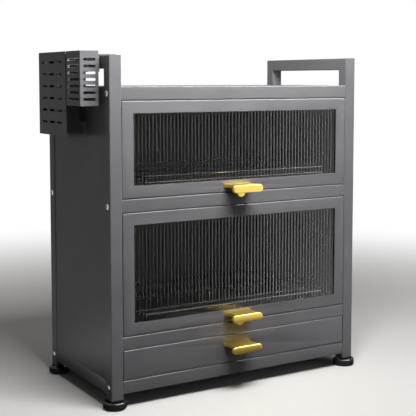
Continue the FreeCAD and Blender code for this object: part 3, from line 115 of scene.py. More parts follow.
def new_material(name):
    """A material with an empty tree and its output node."""
    material = bpy.data.materials.new(name)
    material.use_nodes = True
    material.node_tree.nodes.clear()
    output = material.node_tree.nodes.new("ShaderNodeOutputMaterial")
    return material, material.node_tree, output


# %% [markdown]
# ## Powder coat
# Steel sheet and tube are sprayed with dry paint and baked. The paint flows together but
# keeps a fine orange peel, so highlights on it are wide and slightly broken. The peel is
# about 1.1 mm across. The charcoal is a little lighter where the film is thick, in clouds a
# hand wide, which a look along a long side shows.

# %% Powder-coated steel


def powder_coat():
    """Two close charcoals in clouds 70 mm wide; one peel for the roughness and the bump."""
    material, tree, output = new_material("powder_coated_steel")
    place = add(tree, "ShaderNodeTexCoord")
    film = add(
        tree,
        "ShaderNodeTexNoise",
        {"Vector": (place, "Object"), "Scale": 1.0 / (70.0 * MM), "Detail": 2.0},
    )
    grey = add(
        tree,
        "ShaderNodeMix",
        {0: (film, "Fac"), 6: linear("#656467"), 7: linear("#737274")},
        data_type="RGBA",
    )
    peel = add(
        tree,
        "ShaderNodeTexNoise",
        {"Vector": (place, "Object"), "Scale": 1.0 / (1.1 * MM), "Detail": 2.0},
    )
    rough = add(
        tree,
        "ShaderNodeMapRange",
        {"Value": (peel, "Fac"), "To Min": 0.27, "To Max": 0.37},
    )
    bump = add(
        tree,
        "ShaderNodeBump",
        {"Height": (peel, "Fac"), "Strength": 0.06, "Distance": 0.0002},
    )
    shader = add(
        tree,
        "ShaderNodeBsdfPrincipled",
        {
            "Base Color": (grey, 2),
            "Roughness": (rough, "Result"),
            "Normal": (bump, "Normal"),
            "Specular IOR Level": 0.35,
        },
    )
    tree.links.new(shader.outputs["BSDF"], output.inputs["Surface"])
    return material


POWDER = powder_coat()

# %% [markdown]
# ## Gold handles
# The handles are cast, brushed along their length and anodised gold. Fine scratches along X
# stretch their highlights. A metal's colour is the colour of its reflections, so the gold is
# in the base colour. The dyed skin scatters a little light too, so it isn't quite all metal.

# %% Gold anodised aluminium


def gold():
    """Two golds in clouds 25 mm wide; scratches 0.5 mm wide that are stretched along X."""
    material, tree, output = new_material("gold_anodised_aluminium")
    place = add(tree, "ShaderNodeTexCoord")
    along = add(
        tree,
        "ShaderNodeMapping",
        {"Vector": (place, "Object"), "Scale": (0.03, 1.0, 1.0)},
    )
    brushing = add(
        tree,
        "ShaderNodeTexNoise",
        {"Vector": (along, "Vector"), "Scale": 1.0 / (0.5 * MM), "Detail": 3.0},
    )
    dye = add(
        tree,
        "ShaderNodeTexNoise",
        {"Vector": (place, "Object"), "Scale": 1.0 / (25.0 * MM), "Detail": 2.0},
    )
    tint = add(
        tree,
        "ShaderNodeMix",
        {0: (dye, "Fac"), 6: linear("#FBD25C"), 7: linear("#FFE27C")},
        data_type="RGBA",
    )
    rough = add(
        tree,
        "ShaderNodeMapRange",
        {"Value": (brushing, "Fac"), "To Min": 0.26, "To Max": 0.32},
    )
    bump = add(
        tree,
        "ShaderNodeBump",
        {"Height": (brushing, "Fac"), "Strength": 0.005, "Distance": 0.0001},
    )
    shader = add(
        tree,
        "ShaderNodeBsdfPrincipled",
        {
            "Base Color": (tint, 2),
            "Roughness": (rough, "Result"),
            "Normal": (bump, "Normal"),
            "Metallic": 0.9,
        },
    )
    tree.links.new(shader.outputs["BSDF"], output.inputs["Surface"])
    return material


GOLD = gold()

# %% [markdown]
# ## Clear acrylic
# The panes are cast acrylic. It bends light at its ribs, so it transmits all of it, with an
# index of refraction of 1.49. Rolling marks along the ribs change its gloss a little.

# %% Acrylic


def acrylic():
    """Clear sheet; its roughness follows marks 8 mm wide that are stretched along Z."""
    material, tree, output = new_material("clear_fluted_acrylic")
    place = add(tree, "ShaderNodeTexCoord")
    along = add(
        tree,
        "ShaderNodeMapping",
        {"Vector": (place, "Object"), "Scale": (1.0, 1.0, 0.2)},
    )
    marks = add(
        tree,
        "ShaderNodeTexNoise",
        {"Vector": (along, "Vector"), "Scale": 1.0 / (8.0 * MM), "Detail": 3.0},
    )
    rough = add(
        tree,
        "ShaderNodeMapRange",
        {"Value": (marks, "Fac"), "To Min": 0.0, "To Max": 0.04},
    )
    shader = add(
        tree,
        "ShaderNodeBsdfPrincipled",
        {
            "Base Color": linear("#F4F5F3"),
            "Roughness": (rough, "Result"),
            "Transmission Weight": 1.0,
            "IOR": 1.49,
        },
    )
    tree.links.new(shader.outputs["BSDF"], output.inputs["Surface"])
    return material


ACRYLIC = acrylic()

# %% [markdown]
# ## Chrome, zinc, plastics and rubber
# Chrome wire is a mirror with faint polishing marks. Zinc-plated screws and runners are
# duller. Moulded plastics have a fine spark-eroded grain, the wheels are polished in the
# mould, and rubber is the roughest. These six differ only in their numbers, so one function
# makes them: two close colours in clouds 30 mm wide, and one grain size in millimetres for
# the roughness and the bump.

# %% Plated and moulded finishes


def plated_or_moulded(name, dark, light, rough, grain_mm, metallic):
    """Two colours in clouds; rough is the range that one fine grain runs through."""
    material, tree, output = new_material(name)
    place = add(tree, "ShaderNodeTexCoord")
    cloud = add(
        tree,
        "ShaderNodeTexNoise",
        {"Vector": (place, "Object"), "Scale": 1.0 / (30.0 * MM), "Detail": 2.0},
    )
    tint = add(
        tree,
        "ShaderNodeMix",
        {0: (cloud, "Fac"), 6: linear(dark), 7: linear(light)},
        data_type="RGBA",
    )
    fine = add(
        tree,
        "ShaderNodeTexNoise",
        {"Vector": (place, "Object"), "Scale": 1.0 / (grain_mm * MM), "Detail": 2.0},
    )
    spread = add(
        tree,
        "ShaderNodeMapRange",
        {"Value": (fine, "Fac"), "To Min": rough[0], "To Max": rough[1]},
    )
    bump = add(
        tree,
        "ShaderNodeBump",
        {"Height": (fine, "Fac"), "Strength": 0.08, "Distance": 0.0001},
    )
    shader = add(
        tree,
        "ShaderNodeBsdfPrincipled",
        {
            "Base Color": (tint, 2),
            "Roughness": (spread, "Result"),
            "Normal": (bump, "Normal"),
            "Metallic": metallic,
        },
    )
    tree.links.new(shader.outputs["BSDF"], output.inputs["Surface"])
    return material


CHROME = plated_or_moulded("chromed_wire", "#BDBEC1", "#D6D7D9", (0.05, 0.13), 1.5, 1.0)
ZINC = plated_or_moulded("zinc_plated_steel", "#B4B5B7", "#CBCCCE", (0.2, 0.34), 0.8, 1.0)
GREY_PLASTIC = plated_or_moulded(
    "moulded_grey_abs", "#38383A", "#4A4A4C", (0.5, 0.62), 0.6, 0.0
)
BLACK_PLASTIC = plated_or_moulded(
    "moulded_black_abs", "#181819", "#242425", (0.45, 0.58), 0.6, 0.0
)
GLOSS_BLACK = plated_or_moulded(
    "polished_black_abs", "#2C2C2E", "#3C3C3E", (0.18, 0.26), 2.0, 0.0
)
RUBBER = plated_or_moulded("black_rubber", "#191919", "#262626", (0.75, 0.9), 0.5, 0.0)
FINISH = {
    "powder_coat": POWDER,
    "gold": GOLD,
    "fluted_pane": ACRYLIC,
    "chrome_wire": CHROME,
    "zinc_steel": ZINC,
    "grey_plastic": GREY_PLASTIC,
    "black_plastic": BLACK_PLASTIC,
    "gloss_black": GLOSS_BLACK,
    "black_rubber": RUBBER,
}
SLOT = {entry["node"]: entry["material_slot"] for entry in frame["record"]["subparts"]}
BODY = {
    node: body
    for body, group in frame["record"]["behaviour"]["bodies"].items()
    for node in group
}
print("finishes:", len(FINISH))

# %% [markdown]
# ## Taking a node's place
# Every new piece hides the solid that it stands for, wears that solid's finish and moves
# with its body, so that a door takes its pane and handle along.

# %% A piece in place of a node


def settle(piece, node):
    """Links a new piece and gives it the finish, the slot and the body of its node."""
    bpy.context.scene.collection.objects.link(piece)
    piece.data.materials.append(FINISH[SLOT[node]])
    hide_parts(node)
    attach(piece, BODY[node])


# %% [markdown]
# ## Folded sheet
# Sheet is folded round a small radius and paint softens every cut edge. The solids of door
# frames, drawer front and shelves are copied, their triangles are merged back into whole
# faces, and a Bevel modifier rounds the edges. Folds at the front get 2 mm, which is what
# catches the light along doors and lips, a shelf's cut lower edge gets 1 mm, less than its
# sheet, and the other edges less again. The width of each edge is its bevel weight, so one
# modifier does them all. Bottom rails, hooks, plugs and the knife insert get one small width.

# %% Widths of softened edges
FOLD, CUT, PAINT = 2.0, 1.0, 0.2  # millimetres
SHARP, FLAT = math.radians(35.0), math.radians(0.5)
NEAR = 0.05 * MM
MERGE = 1e-6  # metres: vertices this close are one


def lies_on(edge, axis, level):
    """Whether both ends of an edge lie on the plane where this coordinate is level."""
    return all(abs(vertex.co[axis] - level) < NEAR for vertex in edge.verts)


def edge_width(edge, node, low, high):
    """FOLD round the front face's outline, CUT on a shelf's lower edge, PAINT elsewhere."""
    at_front = lies_on(edge, 1, low[1])
    rims = [lies_on(edge, axis, corner[axis]) for axis in (0, 2) for corner in (low, high)]
    if not (at_front and any(rims)):
        return PAINT
    return CUT if node.endswith("_shelf") and lies_on(edge, 2, low[2]) else FOLD


# %% Copies with softened edges


def bevel_copy(node, width_mm=None):
    """The node's faces, merged; sharp edges get width_mm, or each its own without one."""
    mesh = bpy.data.meshes.new(node + "_soft")
    shape = bmesh.new()
    shape.from_mesh(frame["nodes"][node].data)
    bmesh.ops.remove_doubles(shape, verts=shape.verts, dist=MERGE)
    low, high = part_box(node)
    # The rim round an open underside stays in triangles: one face can't go round a hole.
    floor = low[2] + NEAR
    above = [edge for edge in shape.edges if max(v.co.z for v in edge.verts) > floor]
    bmesh.ops.dissolve_limit(shape, angle_limit=FLAT, verts=[], edges=above)
    weight = shape.edges.layers.float.new("bevel_weight_edge")
    for edge in shape.edges:
        if len(edge.link_faces) == 2 and edge.calc_face_angle(0.0) >= SHARP:
            edge[weight] = 1.0 if width_mm else edge_width(edge, node, low, high) / FOLD
    shape.to_mesh(mesh)
    shape.free()
    mesh.shade_smooth()
    piece = bpy.data.objects.new(node + "_soft", mesh)
    bevel = piece.modifiers.new("bevel", "BEVEL")
    bevel.width = (width_mm or FOLD) * MM
    bevel.segments = 3
    bevel.limit_method = "WEIGHT"
    bevel.use_clamp_overlap = width_mm is not None
    bevel.harden_normals = True
    settle(piece, node)


FOLDED = (
    "upper_door_frame",
    "lower_door_frame",
    "drawer_front",
    "top_shelf",
    "middle_shelf",
    "lower_shelf",
    "base_shelf",
)
SOFTENED = {  # millimetres
    "base_rail_left": 0.3,
    "base_rail_right": 0.3,
    "knife_insert": 0.5,
    "cutlery_basket_hooks": 0.5,
    "knife_holder_hooks": 0.5,
    "foot_plugs": 0.5,
}
for node in FOLDED:
    bevel_copy(node)
for node, width in SOFTENED.items():
    bevel_copy(node, width)
print("softened:", len(SOFTENED) + len(FOLDED))

# %% [markdown]
# ## Surfaces from two parameters
# A shape here is a grid of points, worked out as one array: rows run along the piece and
# columns run round it. One function turns such a grid into a mesh, joins its edges where the
# shape closes on itself, and closes its ends.

# %% Grids to meshes


def grid_faces(rows, columns, close_rows, close_columns):
    """Quads between neighbours of a rows x columns grid, as indices."""
    r = np.arange(rows if close_rows else rows - 1)
    c = np.arange(columns if close_columns else columns - 1)
    r, c = np.meshgrid(r, c, indexing="ij")
    r_next = (r + 1) % rows
    c_next = (c + 1) % columns
    here, ahead = r * columns, r_next * columns
    quads = [here + c, here + c_next, ahead + c_next, ahead + c]
    return np.stack(quads, axis=-1).reshape(-1, 4)


def surface(points, close_rows=False, close_columns=True, caps=True):
    """A grid (rows, columns, 3) as vertices and faces; caps close its first and last rows."""
    rows, columns, _ = points.shape
    faces = grid_faces(rows, columns, close_rows, close_columns).tolist()
    if caps and not close_rows:
        first = list(range(columns))
        last = list(range((rows - 1) * columns, rows * columns))
        faces.append(first[::-1])
        faces.append(last)
    return points.reshape(-1, 3), faces


def make_piece(name, shells, node, smooth_angle=40.0):
    """One piece from (vertices, faces) shells, in place of a node, smooth under an angle."""
    vertices = []
    faces = []
    start = 0
    for points, quads in shells:
        vertices.append(points)
        faces.extend([[index + start for index in face] for face in quads])
        start += len(points)
    mesh = bpy.data.meshes.new(name)
    mesh.from_pydata(np.concatenate(vertices).tolist(), [], faces)
    shape = bmesh.new()
    shape.from_mesh(mesh)
    bmesh.ops.remove_doubles(shape, verts=shape.verts, dist=MERGE)
    bmesh.ops.recalc_face_normals(shape, faces=shape.faces)
    shape.to_mesh(mesh)
    shape.free()
    mesh.validate()
    mesh.shade_smooth()
    mesh.set_sharp_from_angle(angle=math.radians(smooth_angle))
    settle(bpy.data.objects.new(name, mesh), node)


def corners(node):
    """A node's lowest and highest corner as arrays."""
    low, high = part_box(node)
    return np.array(low), np.array(high)


# %% [markdown]
# ## Fluted panes
# The sheet is cast against a ribbed mould: round ribs side by side in front and a flat back.
# Each rib is half an ellipse, flat in the middle and steep at the grooves, which breaks the
# view through the pane and what it mirrors into strips.

# %% Panes
RIB_PITCH, RIB_DEPTH, RIB_STEPS = 9.3 * MM, 0.8 * MM, 14


def fluted_pane(door):
    """y = front + depth (1 - sqrt(1 - (2u)^2)) over each rib, u from -1/2 to 1/2; flat back."""
    node = f"{door}_door_pane"
    low, high = corners(node)
    ribs = round((high[0] - low[0]) / RIB_PITCH)
    u = np.sin(np.linspace(-0.5, 0.5, RIB_STEPS, endpoint=False) * math.pi) / 2.0
    offsets = (np.arange(ribs)[:, None] + 0.5 + u[None, :]).ravel() / ribs
    x = np.append(low[0] + offsets * (high[0] - low[0]), high[0])
    rise = np.append(np.tile(1.0 - np.sqrt(1.0 - (2.0 * u) ** 2), ribs), 1.0)
    front = np.stack([x, low[1] + RIB_DEPTH * rise], axis=1)
    back = np.array([[high[0], high[1]], [low[0], high[1]]])
    section = np.concatenate([front, back])
    levels = np.array([low[2], high[2]])
    points = np.empty((2, len(section), 3))
    points[:, :, :2] = section
    points[:, :, 2] = levels[:, None]
    print(node, "ribs:", ribs)
    make_piece(node + "_ribbed", [surface(points)], node, smooth_angle=25.0)


for door in ("upper", "lower"):
    fluted_pane(door)

# %% [markdown]
# ## Wire racks
# The racks are welded from chromed wire. The outline is one bent wire with round corners,
# thin straight wires run across it, and each plate divider is a wire bent twice.
# Every wire is a circle carried along a path that lies in one plane, so two directions, the
# plane's normal and the path's own side, are enough to place the circle.

# %% Wires


def tube(path, radius, normal, closed=False, sides=12):
    """P(s, a) = path(s) + r (cos a N + sin a T x N), T the path's direction."""
    path = np.asarray(path, float)
    normal = np.asarray(normal, float)
    if closed:
        ahead = np.roll(path, -1, axis=0) - np.roll(path, 1, axis=0)
    else:
        ahead = np.gradient(path, axis=0)
    ahead /= np.linalg.norm(ahead, axis=1, keepdims=True)
    side = np.cross(ahead, normal)
    angle = np.linspace(0.0, 2.0 * math.pi, sides, endpoint=False)
    cosine, sine = np.cos(angle)[None, :, None], np.sin(angle)[None, :, None]
    ring = cosine * normal + sine * side[:, None, :]
    return surface(path[:, None, :] + radius * ring, close_rows=closed)


def round_corners(points, radius, steps=6, closed=True):
    """A polyline whose corners are arcs of one radius, each between its tangent points."""
    points = np.asarray(points, float)
    count = len(points)
    out = []
    for index in range(count):
        corner = points[index]
        if not closed and index in (0, count - 1):
            out.append(corner[None, :])
            continue
        before = points[index - 1] - corner
        after = points[(index + 1) % count] - corner
        before /= np.linalg.norm(before)
        after /= np.linalg.norm(after)
        half = math.acos(float(np.clip(before @ after, -1.0, 1.0))) / 2.0
        reach = radius / math.tan(half)
        inwards = (before + after) / np.linalg.norm(before + after)
        middle = corner + inwards * radius / math.sin(half)
        start = corner + before * reach - middle
        end = corner + after * reach - middle
        sweep = math.pi - 2.0 * half
        t = np.linspace(0.0, 1.0, steps + 1)[:, None]
        arc = (np.sin((1 - t) * sweep) * start + np.sin(t * sweep) * end) / math.sin(sweep)
        out.append(middle + arc)
    return np.concatenate(out)


UP = (0.0, 0.0, 1.0)
SIDEWAYS = (1.0, 0.0, 0.0)
BACKWARDS = (0.0, 1.0, 0.0)
THICK, THIN = 2.5 * MM, 1.6 * MM  # radii of the two wires
BEND, DIVIDER_BEND = 6 * MM, 9 * MM
ON_BEND = BEND * (1 - math.sqrt(0.5))  # from a corner to the middle of its bend, in x and y
PITCH, RUNGS = 28.4 * MM, 18
STAY_RAMP, STAY_DROP = 6 * MM, 2.8 * MM
DIVIDER_WIDTH = 36 * MM
TIP = 0.2 * MM  # radius of the flat under a leg


def rack_corners(node):
    """The middles of the outline wire's corners, from the node's box."""
    low, high = corners(node)
    x = (low[0] + THICK, high[0] - THICK)
    y = (low[1] + THICK, high[1] - THICK)
    return x, y


def outline(x, y, z, wire):
    """One wire round the rack at height z."""
    loop = [(x[0], y[0], z), (x[1], y[0], z), (x[1], y[1], z), (x[0], y[1], z)]
    return tube(round_corners(loop, BEND), wire, UP, closed=True)


def rung_places(x):
    """Evenly spaced places along X, with the middle of the rack between the middle two."""
    middle = (x[0] + x[1]) / 2.0
    return middle + (np.arange(RUNGS) - (RUNGS - 1) / 2.0) * PITCH


def rack_feet(node, x, y, z):
    """Four legs under the middle of the outline wire's bends, with rounded lower ends."""
    floor = corners(node)[0][2]
    angle = np.linspace(0.0, math.pi / 2.0, 5)
    height = np.concatenate([[z], floor + THICK * (1 - np.sin(angle))])
    radius = np.concatenate([[THICK], np.maximum(THICK * np.cos(angle), TIP)])
    turn = np.linspace(0.0, 2.0 * math.pi, 12, endpoint=False)
    shells = []
    for sx, px in zip((1, -1), x):
        for sy, py in zip((1, -1), y):
            points = np.empty((len(height), len(turn), 3))
            points[:, :, 0] = px + sx * ON_BEND + radius[:, None] * np.cos(turn)
            points[:, :, 1] = py + sy * ON_BEND + radius[:, None] * np.sin(turn)
            points[:, :, 2] = height[:, None]
            shells.append(surface(points))
    make_piece(node + "_rounded", shells, node)


# %% Bowl rack


def bowl_rack():
    """Outline, rungs across it, two stays that dip under the rungs, legs and guard wire."""
    x, y = rack_corners("bowl_rack")
    z = corners("bowl_rack")[1][2] - THICK
    rack_feet("bowl_rack_legs", x, y, z)
    shells = [outline(x, y, z, THICK)]
    for place in rung_places(x):
        shells.append(tube([(place, y[0], z), (place, y[1], z)], THIN, UP))
    for share in (1 / 3, 2 / 3):
        stay = y[0] + share * (y[1] - y[0])
        path = [
            (x[0], stay, z),
            (x[0] + STAY_RAMP, stay, z - STAY_DROP),
            (x[1] - STAY_RAMP, stay, z - STAY_DROP),
            (x[1], stay, z),
        ]
        shells.append(tube(path, THIN, BACKWARDS))
    make_piece("bowl_rack_wires", shells, "bowl_rack")
    top = corners("bowl_rack_guard")[1][2] - THIN
    shells = [outline(x, y, top, THIN)]
    for sx, px in zip((1, 0, -1), (x[0], (x[0] + x[1]) / 2, x[1])):
        for sy, py in zip((1, -1), y):
            place = (px + sx * ON_BEND, py + sy * ON_BEND * abs(sx))
            shells.append(tube([(*place, z), (*place, top)], THIN, SIDEWAYS))
    make_piece("bowl_rack_guard_wire", shells, "bowl_rack_guard")


# %% Plate rack


def plate_rack():
    """Outline, legs, two rows of dividers and the pair of long wires under each row."""
    x, y = rack_corners("plate_rack")
    z = corners("plate_rack")[1][2] - THICK
    rack_feet("plate_rack_legs", x, y, z)
    foot, top = corners("plate_dividers")
    crown = top[2] - THIN
    rows = (foot[1] + THIN, top[1] - THIN - DIVIDER_WIDTH)
    wires = [outline(x, y, z, THICK)]
    dividers = []
    for front in rows:
        back = front + DIVIDER_WIDTH
        for place in (front, back):
            wires.append(tube([(x[0], place, z), (x[1], place, z)], THIN, UP))
        for place in rung_places(x):
            loop = [
                (place, front, foot[2]),
                (place, front, crown),
                (place, back, crown),
                (place, back, foot[2]),
            ]
            path = round_corners(loop, DIVIDER_BEND, closed=False)
            dividers.append(tube(path, THIN, SIDEWAYS, sides=10))
    make_piece("plate_rack_wires", wires, "plate_rack")
    make_piece("plate_divider_wires", dividers, "plate_dividers")


bowl_rack()
plate_rack()

# %% [markdown]
# ## Handles
# Each handle is one casting: a stadium-shaped grip bar, a neck plate that is waisted like a
# dog bone, and a round boss under the neck. The bar is a stadium outline that shrinks
# towards its front and back faces along a quarter circle, which gives the soft edge that
# catches the light.

# %% Handles
BAR_WIDTH, BAR_HEIGHT, BAR_DEPTH, BAR_EDGE = 85 * MM, 18.5 * MM, 8 * MM, 1.6 * MM
NECK_THICK, NECK_EDGE, NECK_INSET = 9 * MM, 1.5 * MM, 0.2 * MM
NECK_ROOT, NECK_WAIST, WAIST_SHARE = 75 * MM, 63 * MM, 0.65
BOSS_RADIUS, BOSS_LENGTH, BOSS_EDGE, BOSS_OVERLAP = 12 * MM, 20 * MM, 1.2 * MM, 1 * MM


def grip_bar(middle, front):
    """Rows go from the back face's middle over its edge to the front face's middle."""
    quarter = np.linspace(0.0, math.pi / 2.0, 6)
    back = front + BAR_DEPTH
    half = BAR_HEIGHT / 2.0
    falling = BAR_EDGE * (1 - np.sin(quarter))
    rising = BAR_EDGE * (1 - np.cos(quarter))
    inset = np.concatenate([[half], falling, rising, [half]])
    rows = np.concatenate([[back], back - rising, front + falling, [front]])
    angle = np.linspace(-math.pi / 2, math.pi / 2, 17)
    straight = np.full(len(angle), (BAR_WIDTH - BAR_HEIGHT) / 2.0)
    angles = np.concatenate([angle, angle + math.pi])
    shift = np.concatenate([straight, -straight])
    reach = (half - inset)[:, None]
    points = np.empty((len(rows), len(angles), 3))
    points[:, :, 0] = middle[0] + shift + reach * np.cos(angles)
    points[:, :, 1] = rows[:, None]
    points[:, :, 2] = middle[2] + reach * np.sin(angles)
    return surface(points, caps=False)


def neck_plate(middle, front, door):
    """A rounded rectangle carried forward; its half-width follows a parabola to the waist."""
    share = np.linspace(0.0, 1.0, 14)
    rows = door + share * (front + BAR_DEPTH / 2 - door)
    flare = (1 - share / WAIST_SHARE) ** 2
    half_width = (NECK_WAIST + (NECK_ROOT - NECK_WAIST) * flare) / 2.0
    low = middle[2] + BAR_HEIGHT / 2 - NECK_THICK + NECK_INSET
    high = middle[2] + BAR_HEIGHT / 2 - NECK_INSET
    quarter = np.linspace(0.0, math.pi / 2.0, 5)
    angles = np.concatenate([quarter + k * math.pi / 2 for k in range(4)])
    sx = np.repeat([1.0, -1.0, -1.0, 1.0], len(quarter))
    sz = np.repeat([1.0, 1.0, -1.0, -1.0], len(quarter))
    inner_width = half_width[:, None] - NECK_EDGE
    inner_height = (high - low) / 2 - NECK_EDGE
    points = np.empty((len(rows), len(angles), 3))
    points[:, :, 0] = middle[0] + sx * inner_width + NECK_EDGE * np.cos(angles)
    points[:, :, 1] = rows[:, None]
    points[:, :, 2] = (low + high) / 2 + sz * inner_height + NECK_EDGE * np.sin(angles)
    return surface(points)


def boss(middle, door):
    """A turned stub: radius against depth, with a rounded front edge, spun about Y."""
    quarter = np.linspace(0.0, math.pi / 2.0, 6)
    inner, outer = BOSS_RADIUS - BOSS_EDGE, BOSS_LENGTH - BOSS_EDGE
    radius = np.concatenate([[BOSS_RADIUS], inner + BOSS_EDGE * np.cos(quarter), [0.0]])
    depth = np.concatenate([[0.0], outer + BOSS_EDGE * np.sin(quarter), [BOSS_LENGTH]])
    angle = np.linspace(0.0, 2 * math.pi, 40, endpoint=False)
    drop = middle[2] + BAR_HEIGHT / 2 - NECK_THICK + BOSS_OVERLAP - BOSS_RADIUS
    points = np.empty((len(radius), len(angle), 3))
    points[:, :, 0] = middle[0] + radius[:, None] * np.cos(angle)
    points[:, :, 1] = (door - depth)[:, None]
    points[:, :, 2] = drop + radius[:, None] * np.sin(angle)
    vertices, faces = surface(points, caps=False)
    faces.append(list(range(len(angle)))[::-1])
    return vertices, faces


for door in ("upper", "lower", "drawer"):
    low, high = corners(door + "_handle")
    middle = ((low[0] + high[0]) / 2, 0.0, high[2] - BAR_HEIGHT / 2)
    shells = [
        grip_bar(middle, low[1]),
        neck_plate(middle, low[1], high[1]),
        boss(middle, high[1]),
    ]
    make_piece(door + "_handle_casting", shells, door + "_handle", smooth_angle=35.0)

# %% [markdown]
# ## Feet
# A levelling foot is a moulded wheel on a threaded stem. Grips run round its edge for the
# fingers, its top is dished, and it is polished black, so it picks up bright rims. The wheel
# is turned from a profile, and the grips are a small ripple of the radius where the profile
# is the side wall.

# %% Feet
GRIPS, GRIP_STEPS, GRIP_DEPTH = 36, 6, 1.0 * MM
WHEEL_RADIUS, WHEEL_HEIGHT, WHEEL_EDGE = 27 * MM, 16 * MM, 1.6 * MM
PAD_RADIUS, PAD_DEPTH = 6.1 * MM, 5.3 * MM
HUB_RADIUS, HUB_RISE, STEM_RADIUS, DISH = 11 * MM, 2 * MM, 4 * MM, 4 * MM


def foot_wheel(node):
    """P(t, a): radius and height along a profile, radius less a ripple |sin(n a / 2)|^0.6."""
    low, high = corners(node)
    middle = (low + high) / 2
    base = low[2]
    rim = base + WHEEL_HEIGHT
    reach = WHEEL_RADIUS
    shoulder = reach - WHEEL_EDGE
    # The steps of less than a millimetre round the profile's corners.
    profile = np.array(
        [
            (0.0, base + PAD_DEPTH),
            (PAD_RADIUS, base + PAD_DEPTH),
            (PAD_RADIUS, base),
            (shoulder - 0.6 * MM, base),
            (shoulder, base + 0.2 * MM),
            (reach - 0.3 * MM, base + WHEEL_EDGE),
            (reach, base + WHEEL_EDGE + 0.8 * MM),
            (reach, rim - WHEEL_EDGE - 0.8 * MM),
            (reach - 0.3 * MM, rim - WHEEL_EDGE),
            (shoulder, rim - 0.2 * MM),
            (shoulder - 0.6 * MM, rim),
            (reach - 5.0 * MM, rim),
            (reach - 5.6 * MM, rim - 0.5 * MM),
            (reach - 6.0 * MM, rim - DISH),
            (HUB_RADIUS, rim - DISH),
            (HUB_RADIUS, rim + HUB_RISE),
            (STEM_RADIUS, rim + HUB_RISE),
            (STEM_RADIUS, high[2]),
            (0.0, high[2]),
        ]
    )
    on_wall = profile[:, 0] == reach
    angle = np.linspace(0.0, 2 * math.pi, GRIPS * GRIP_STEPS, endpoint=False)
    wave = np.abs(np.sin(GRIPS * angle / 2)) ** 0.6
    radius = profile[:, :1] - GRIP_DEPTH * on_wall[:, None] * (1 - wave)
    points = np.empty((len(profile), len(angle), 3))
    points[:, :, 0] = middle[0] + radius * np.cos(angle)
    points[:, :, 1] = middle[1] + radius * np.sin(angle)
    points[:, :, 2] = profile[:, 1:]
    make_piece(node + "_turned", [surface(points, caps=False)], node, smooth_angle=30.0)


for place in ("front_left", "front_right", "back_left", "back_right"):
    foot_wheel("foot_wheel_" + place)

# %% [markdown]
# ## Bolts
# Three bolts go through the outer face of each post. Their low domed heads are bright, with a
# hexagon socket. A head is turned about X: it rises along a quarter of a sine wave from the
# rim to the socket, whose radius depends on the angle, so that it comes out six-sided.

# %% Frame bolts
HEAD_RADIUS, HEAD_HEIGHT, HEAD_RIM = 7.5 * MM, 2.4 * MM, 0.7 * MM
SOCKET, SOCKET_MOUTH, SOCKET_DEPTH = 2.3 * MM, 3.2 * MM, 1.4 * MM
SHANK = 3.0 * MM
BOLT_SIDES = 48
BOLT_HEIGHTS = (49 * MM, 467 * MM, 721.75 * MM)
BOLT_LENGTH = 38 * MM


def bolt(head, side, length):
    """Rise e + (h - e) sin 90t at R + (m - R) t; the socket s cos 30 / cos(a mod 60 - 30)."""
    turn = np.linspace(0.0, 2.0 * math.pi, BOLT_SIDES, endpoint=False)
    hexagon = SOCKET * math.cos(math.pi / 6) / np.cos(turn % (math.pi / 3) - math.pi / 6)
    share = np.linspace(0.0, 1.0, 6)[::-1]
    dome = HEAD_RADIUS + (SOCKET_MOUTH - HEAD_RADIUS) * share
    rise = HEAD_RIM + (HEAD_HEIGHT - HEAD_RIM) * np.sin(share * math.pi / 2)
    round_radii = np.concatenate([dome, [HEAD_RADIUS, SHANK, SHANK, 0.0]])
    radii = np.tile(round_radii[:, None], BOLT_SIDES)
    radii = np.concatenate([[np.zeros(BOLT_SIDES), hexagon, hexagon], radii])
    floor = HEAD_HEIGHT - SOCKET_DEPTH
    heights = np.concatenate([[floor, floor, HEAD_HEIGHT], rise, [0.0, 0.0, -length, -length]])
    points = np.empty((len(heights), BOLT_SIDES, 3))
    points[:, :, 0] = head[0] + side * heights[:, None]
    points[:, :, 1] = head[1] + radii * np.cos(turn)
    points[:, :, 2] = head[2] + radii * np.sin(turn)
    return surface(points, caps=False)


low, high = corners("frame_bolts")
shells = []
for side, face in ((-1, low[0] + HEAD_HEIGHT), (1, high[0] - HEAD_HEIGHT)):
    for y in (low[1] + HEAD_RADIUS, high[1] - HEAD_RADIUS):
        for z in BOLT_HEIGHTS:
            shells.append(bolt((face, y, z), side, BOLT_LENGTH))
make_piece("frame_bolts_turned", shells, "frame_bolts", smooth_angle=30.0)

# %% [markdown]
# ## The rest of the solids
# Posts, top rails, panels, trays, runners, the two holders, screws and pads already have the
# right shape, with their round corners, so they only get their finish. The hidden solids get
# it too.

# %% Finish for the solids
for node, solid in frame["nodes"].items():
    solid.data.materials.clear()
    solid.data.materials.append(FINISH[SLOT[node]])

# %% [markdown]
# ## Floor, room and lamps
# A pale floor runs into a white backdrop, as a paper sweep does in a small studio. The key
# lamp hangs close in front, high up, so the light fades down the doors, and a long strip lamp
# beside it, which only glossy surfaces see, draws a bright line on every fold. A faint fill
# stands low on the right, a lamp above lights the top, and a small reflector lights nothing
# but the handles. No lamp shines in through the panes, so the inside stays dark behind them.
# Glossy surfaces need something to mirror: a white card stands on each side and the room in
# front is dim, so each rib of a pane shows narrow strips of light.

# %% Cards that glossy surfaces mirror
DIM = "#262626"
CARDS = (  # degrees to the right of straight ahead, and the brightness there
    (-135.0, "#8C8C8C"),
    (-115.0, "#FFFFFF"),
    (-80.0, "#FFFFFF"),
    (-65.0, DIM),
    (36.0, DIM),
    (42.0, "#FFFFFF"),
    (80.0, "#FFFFFF"),
    (100.0, "#AAAAAA"),
)


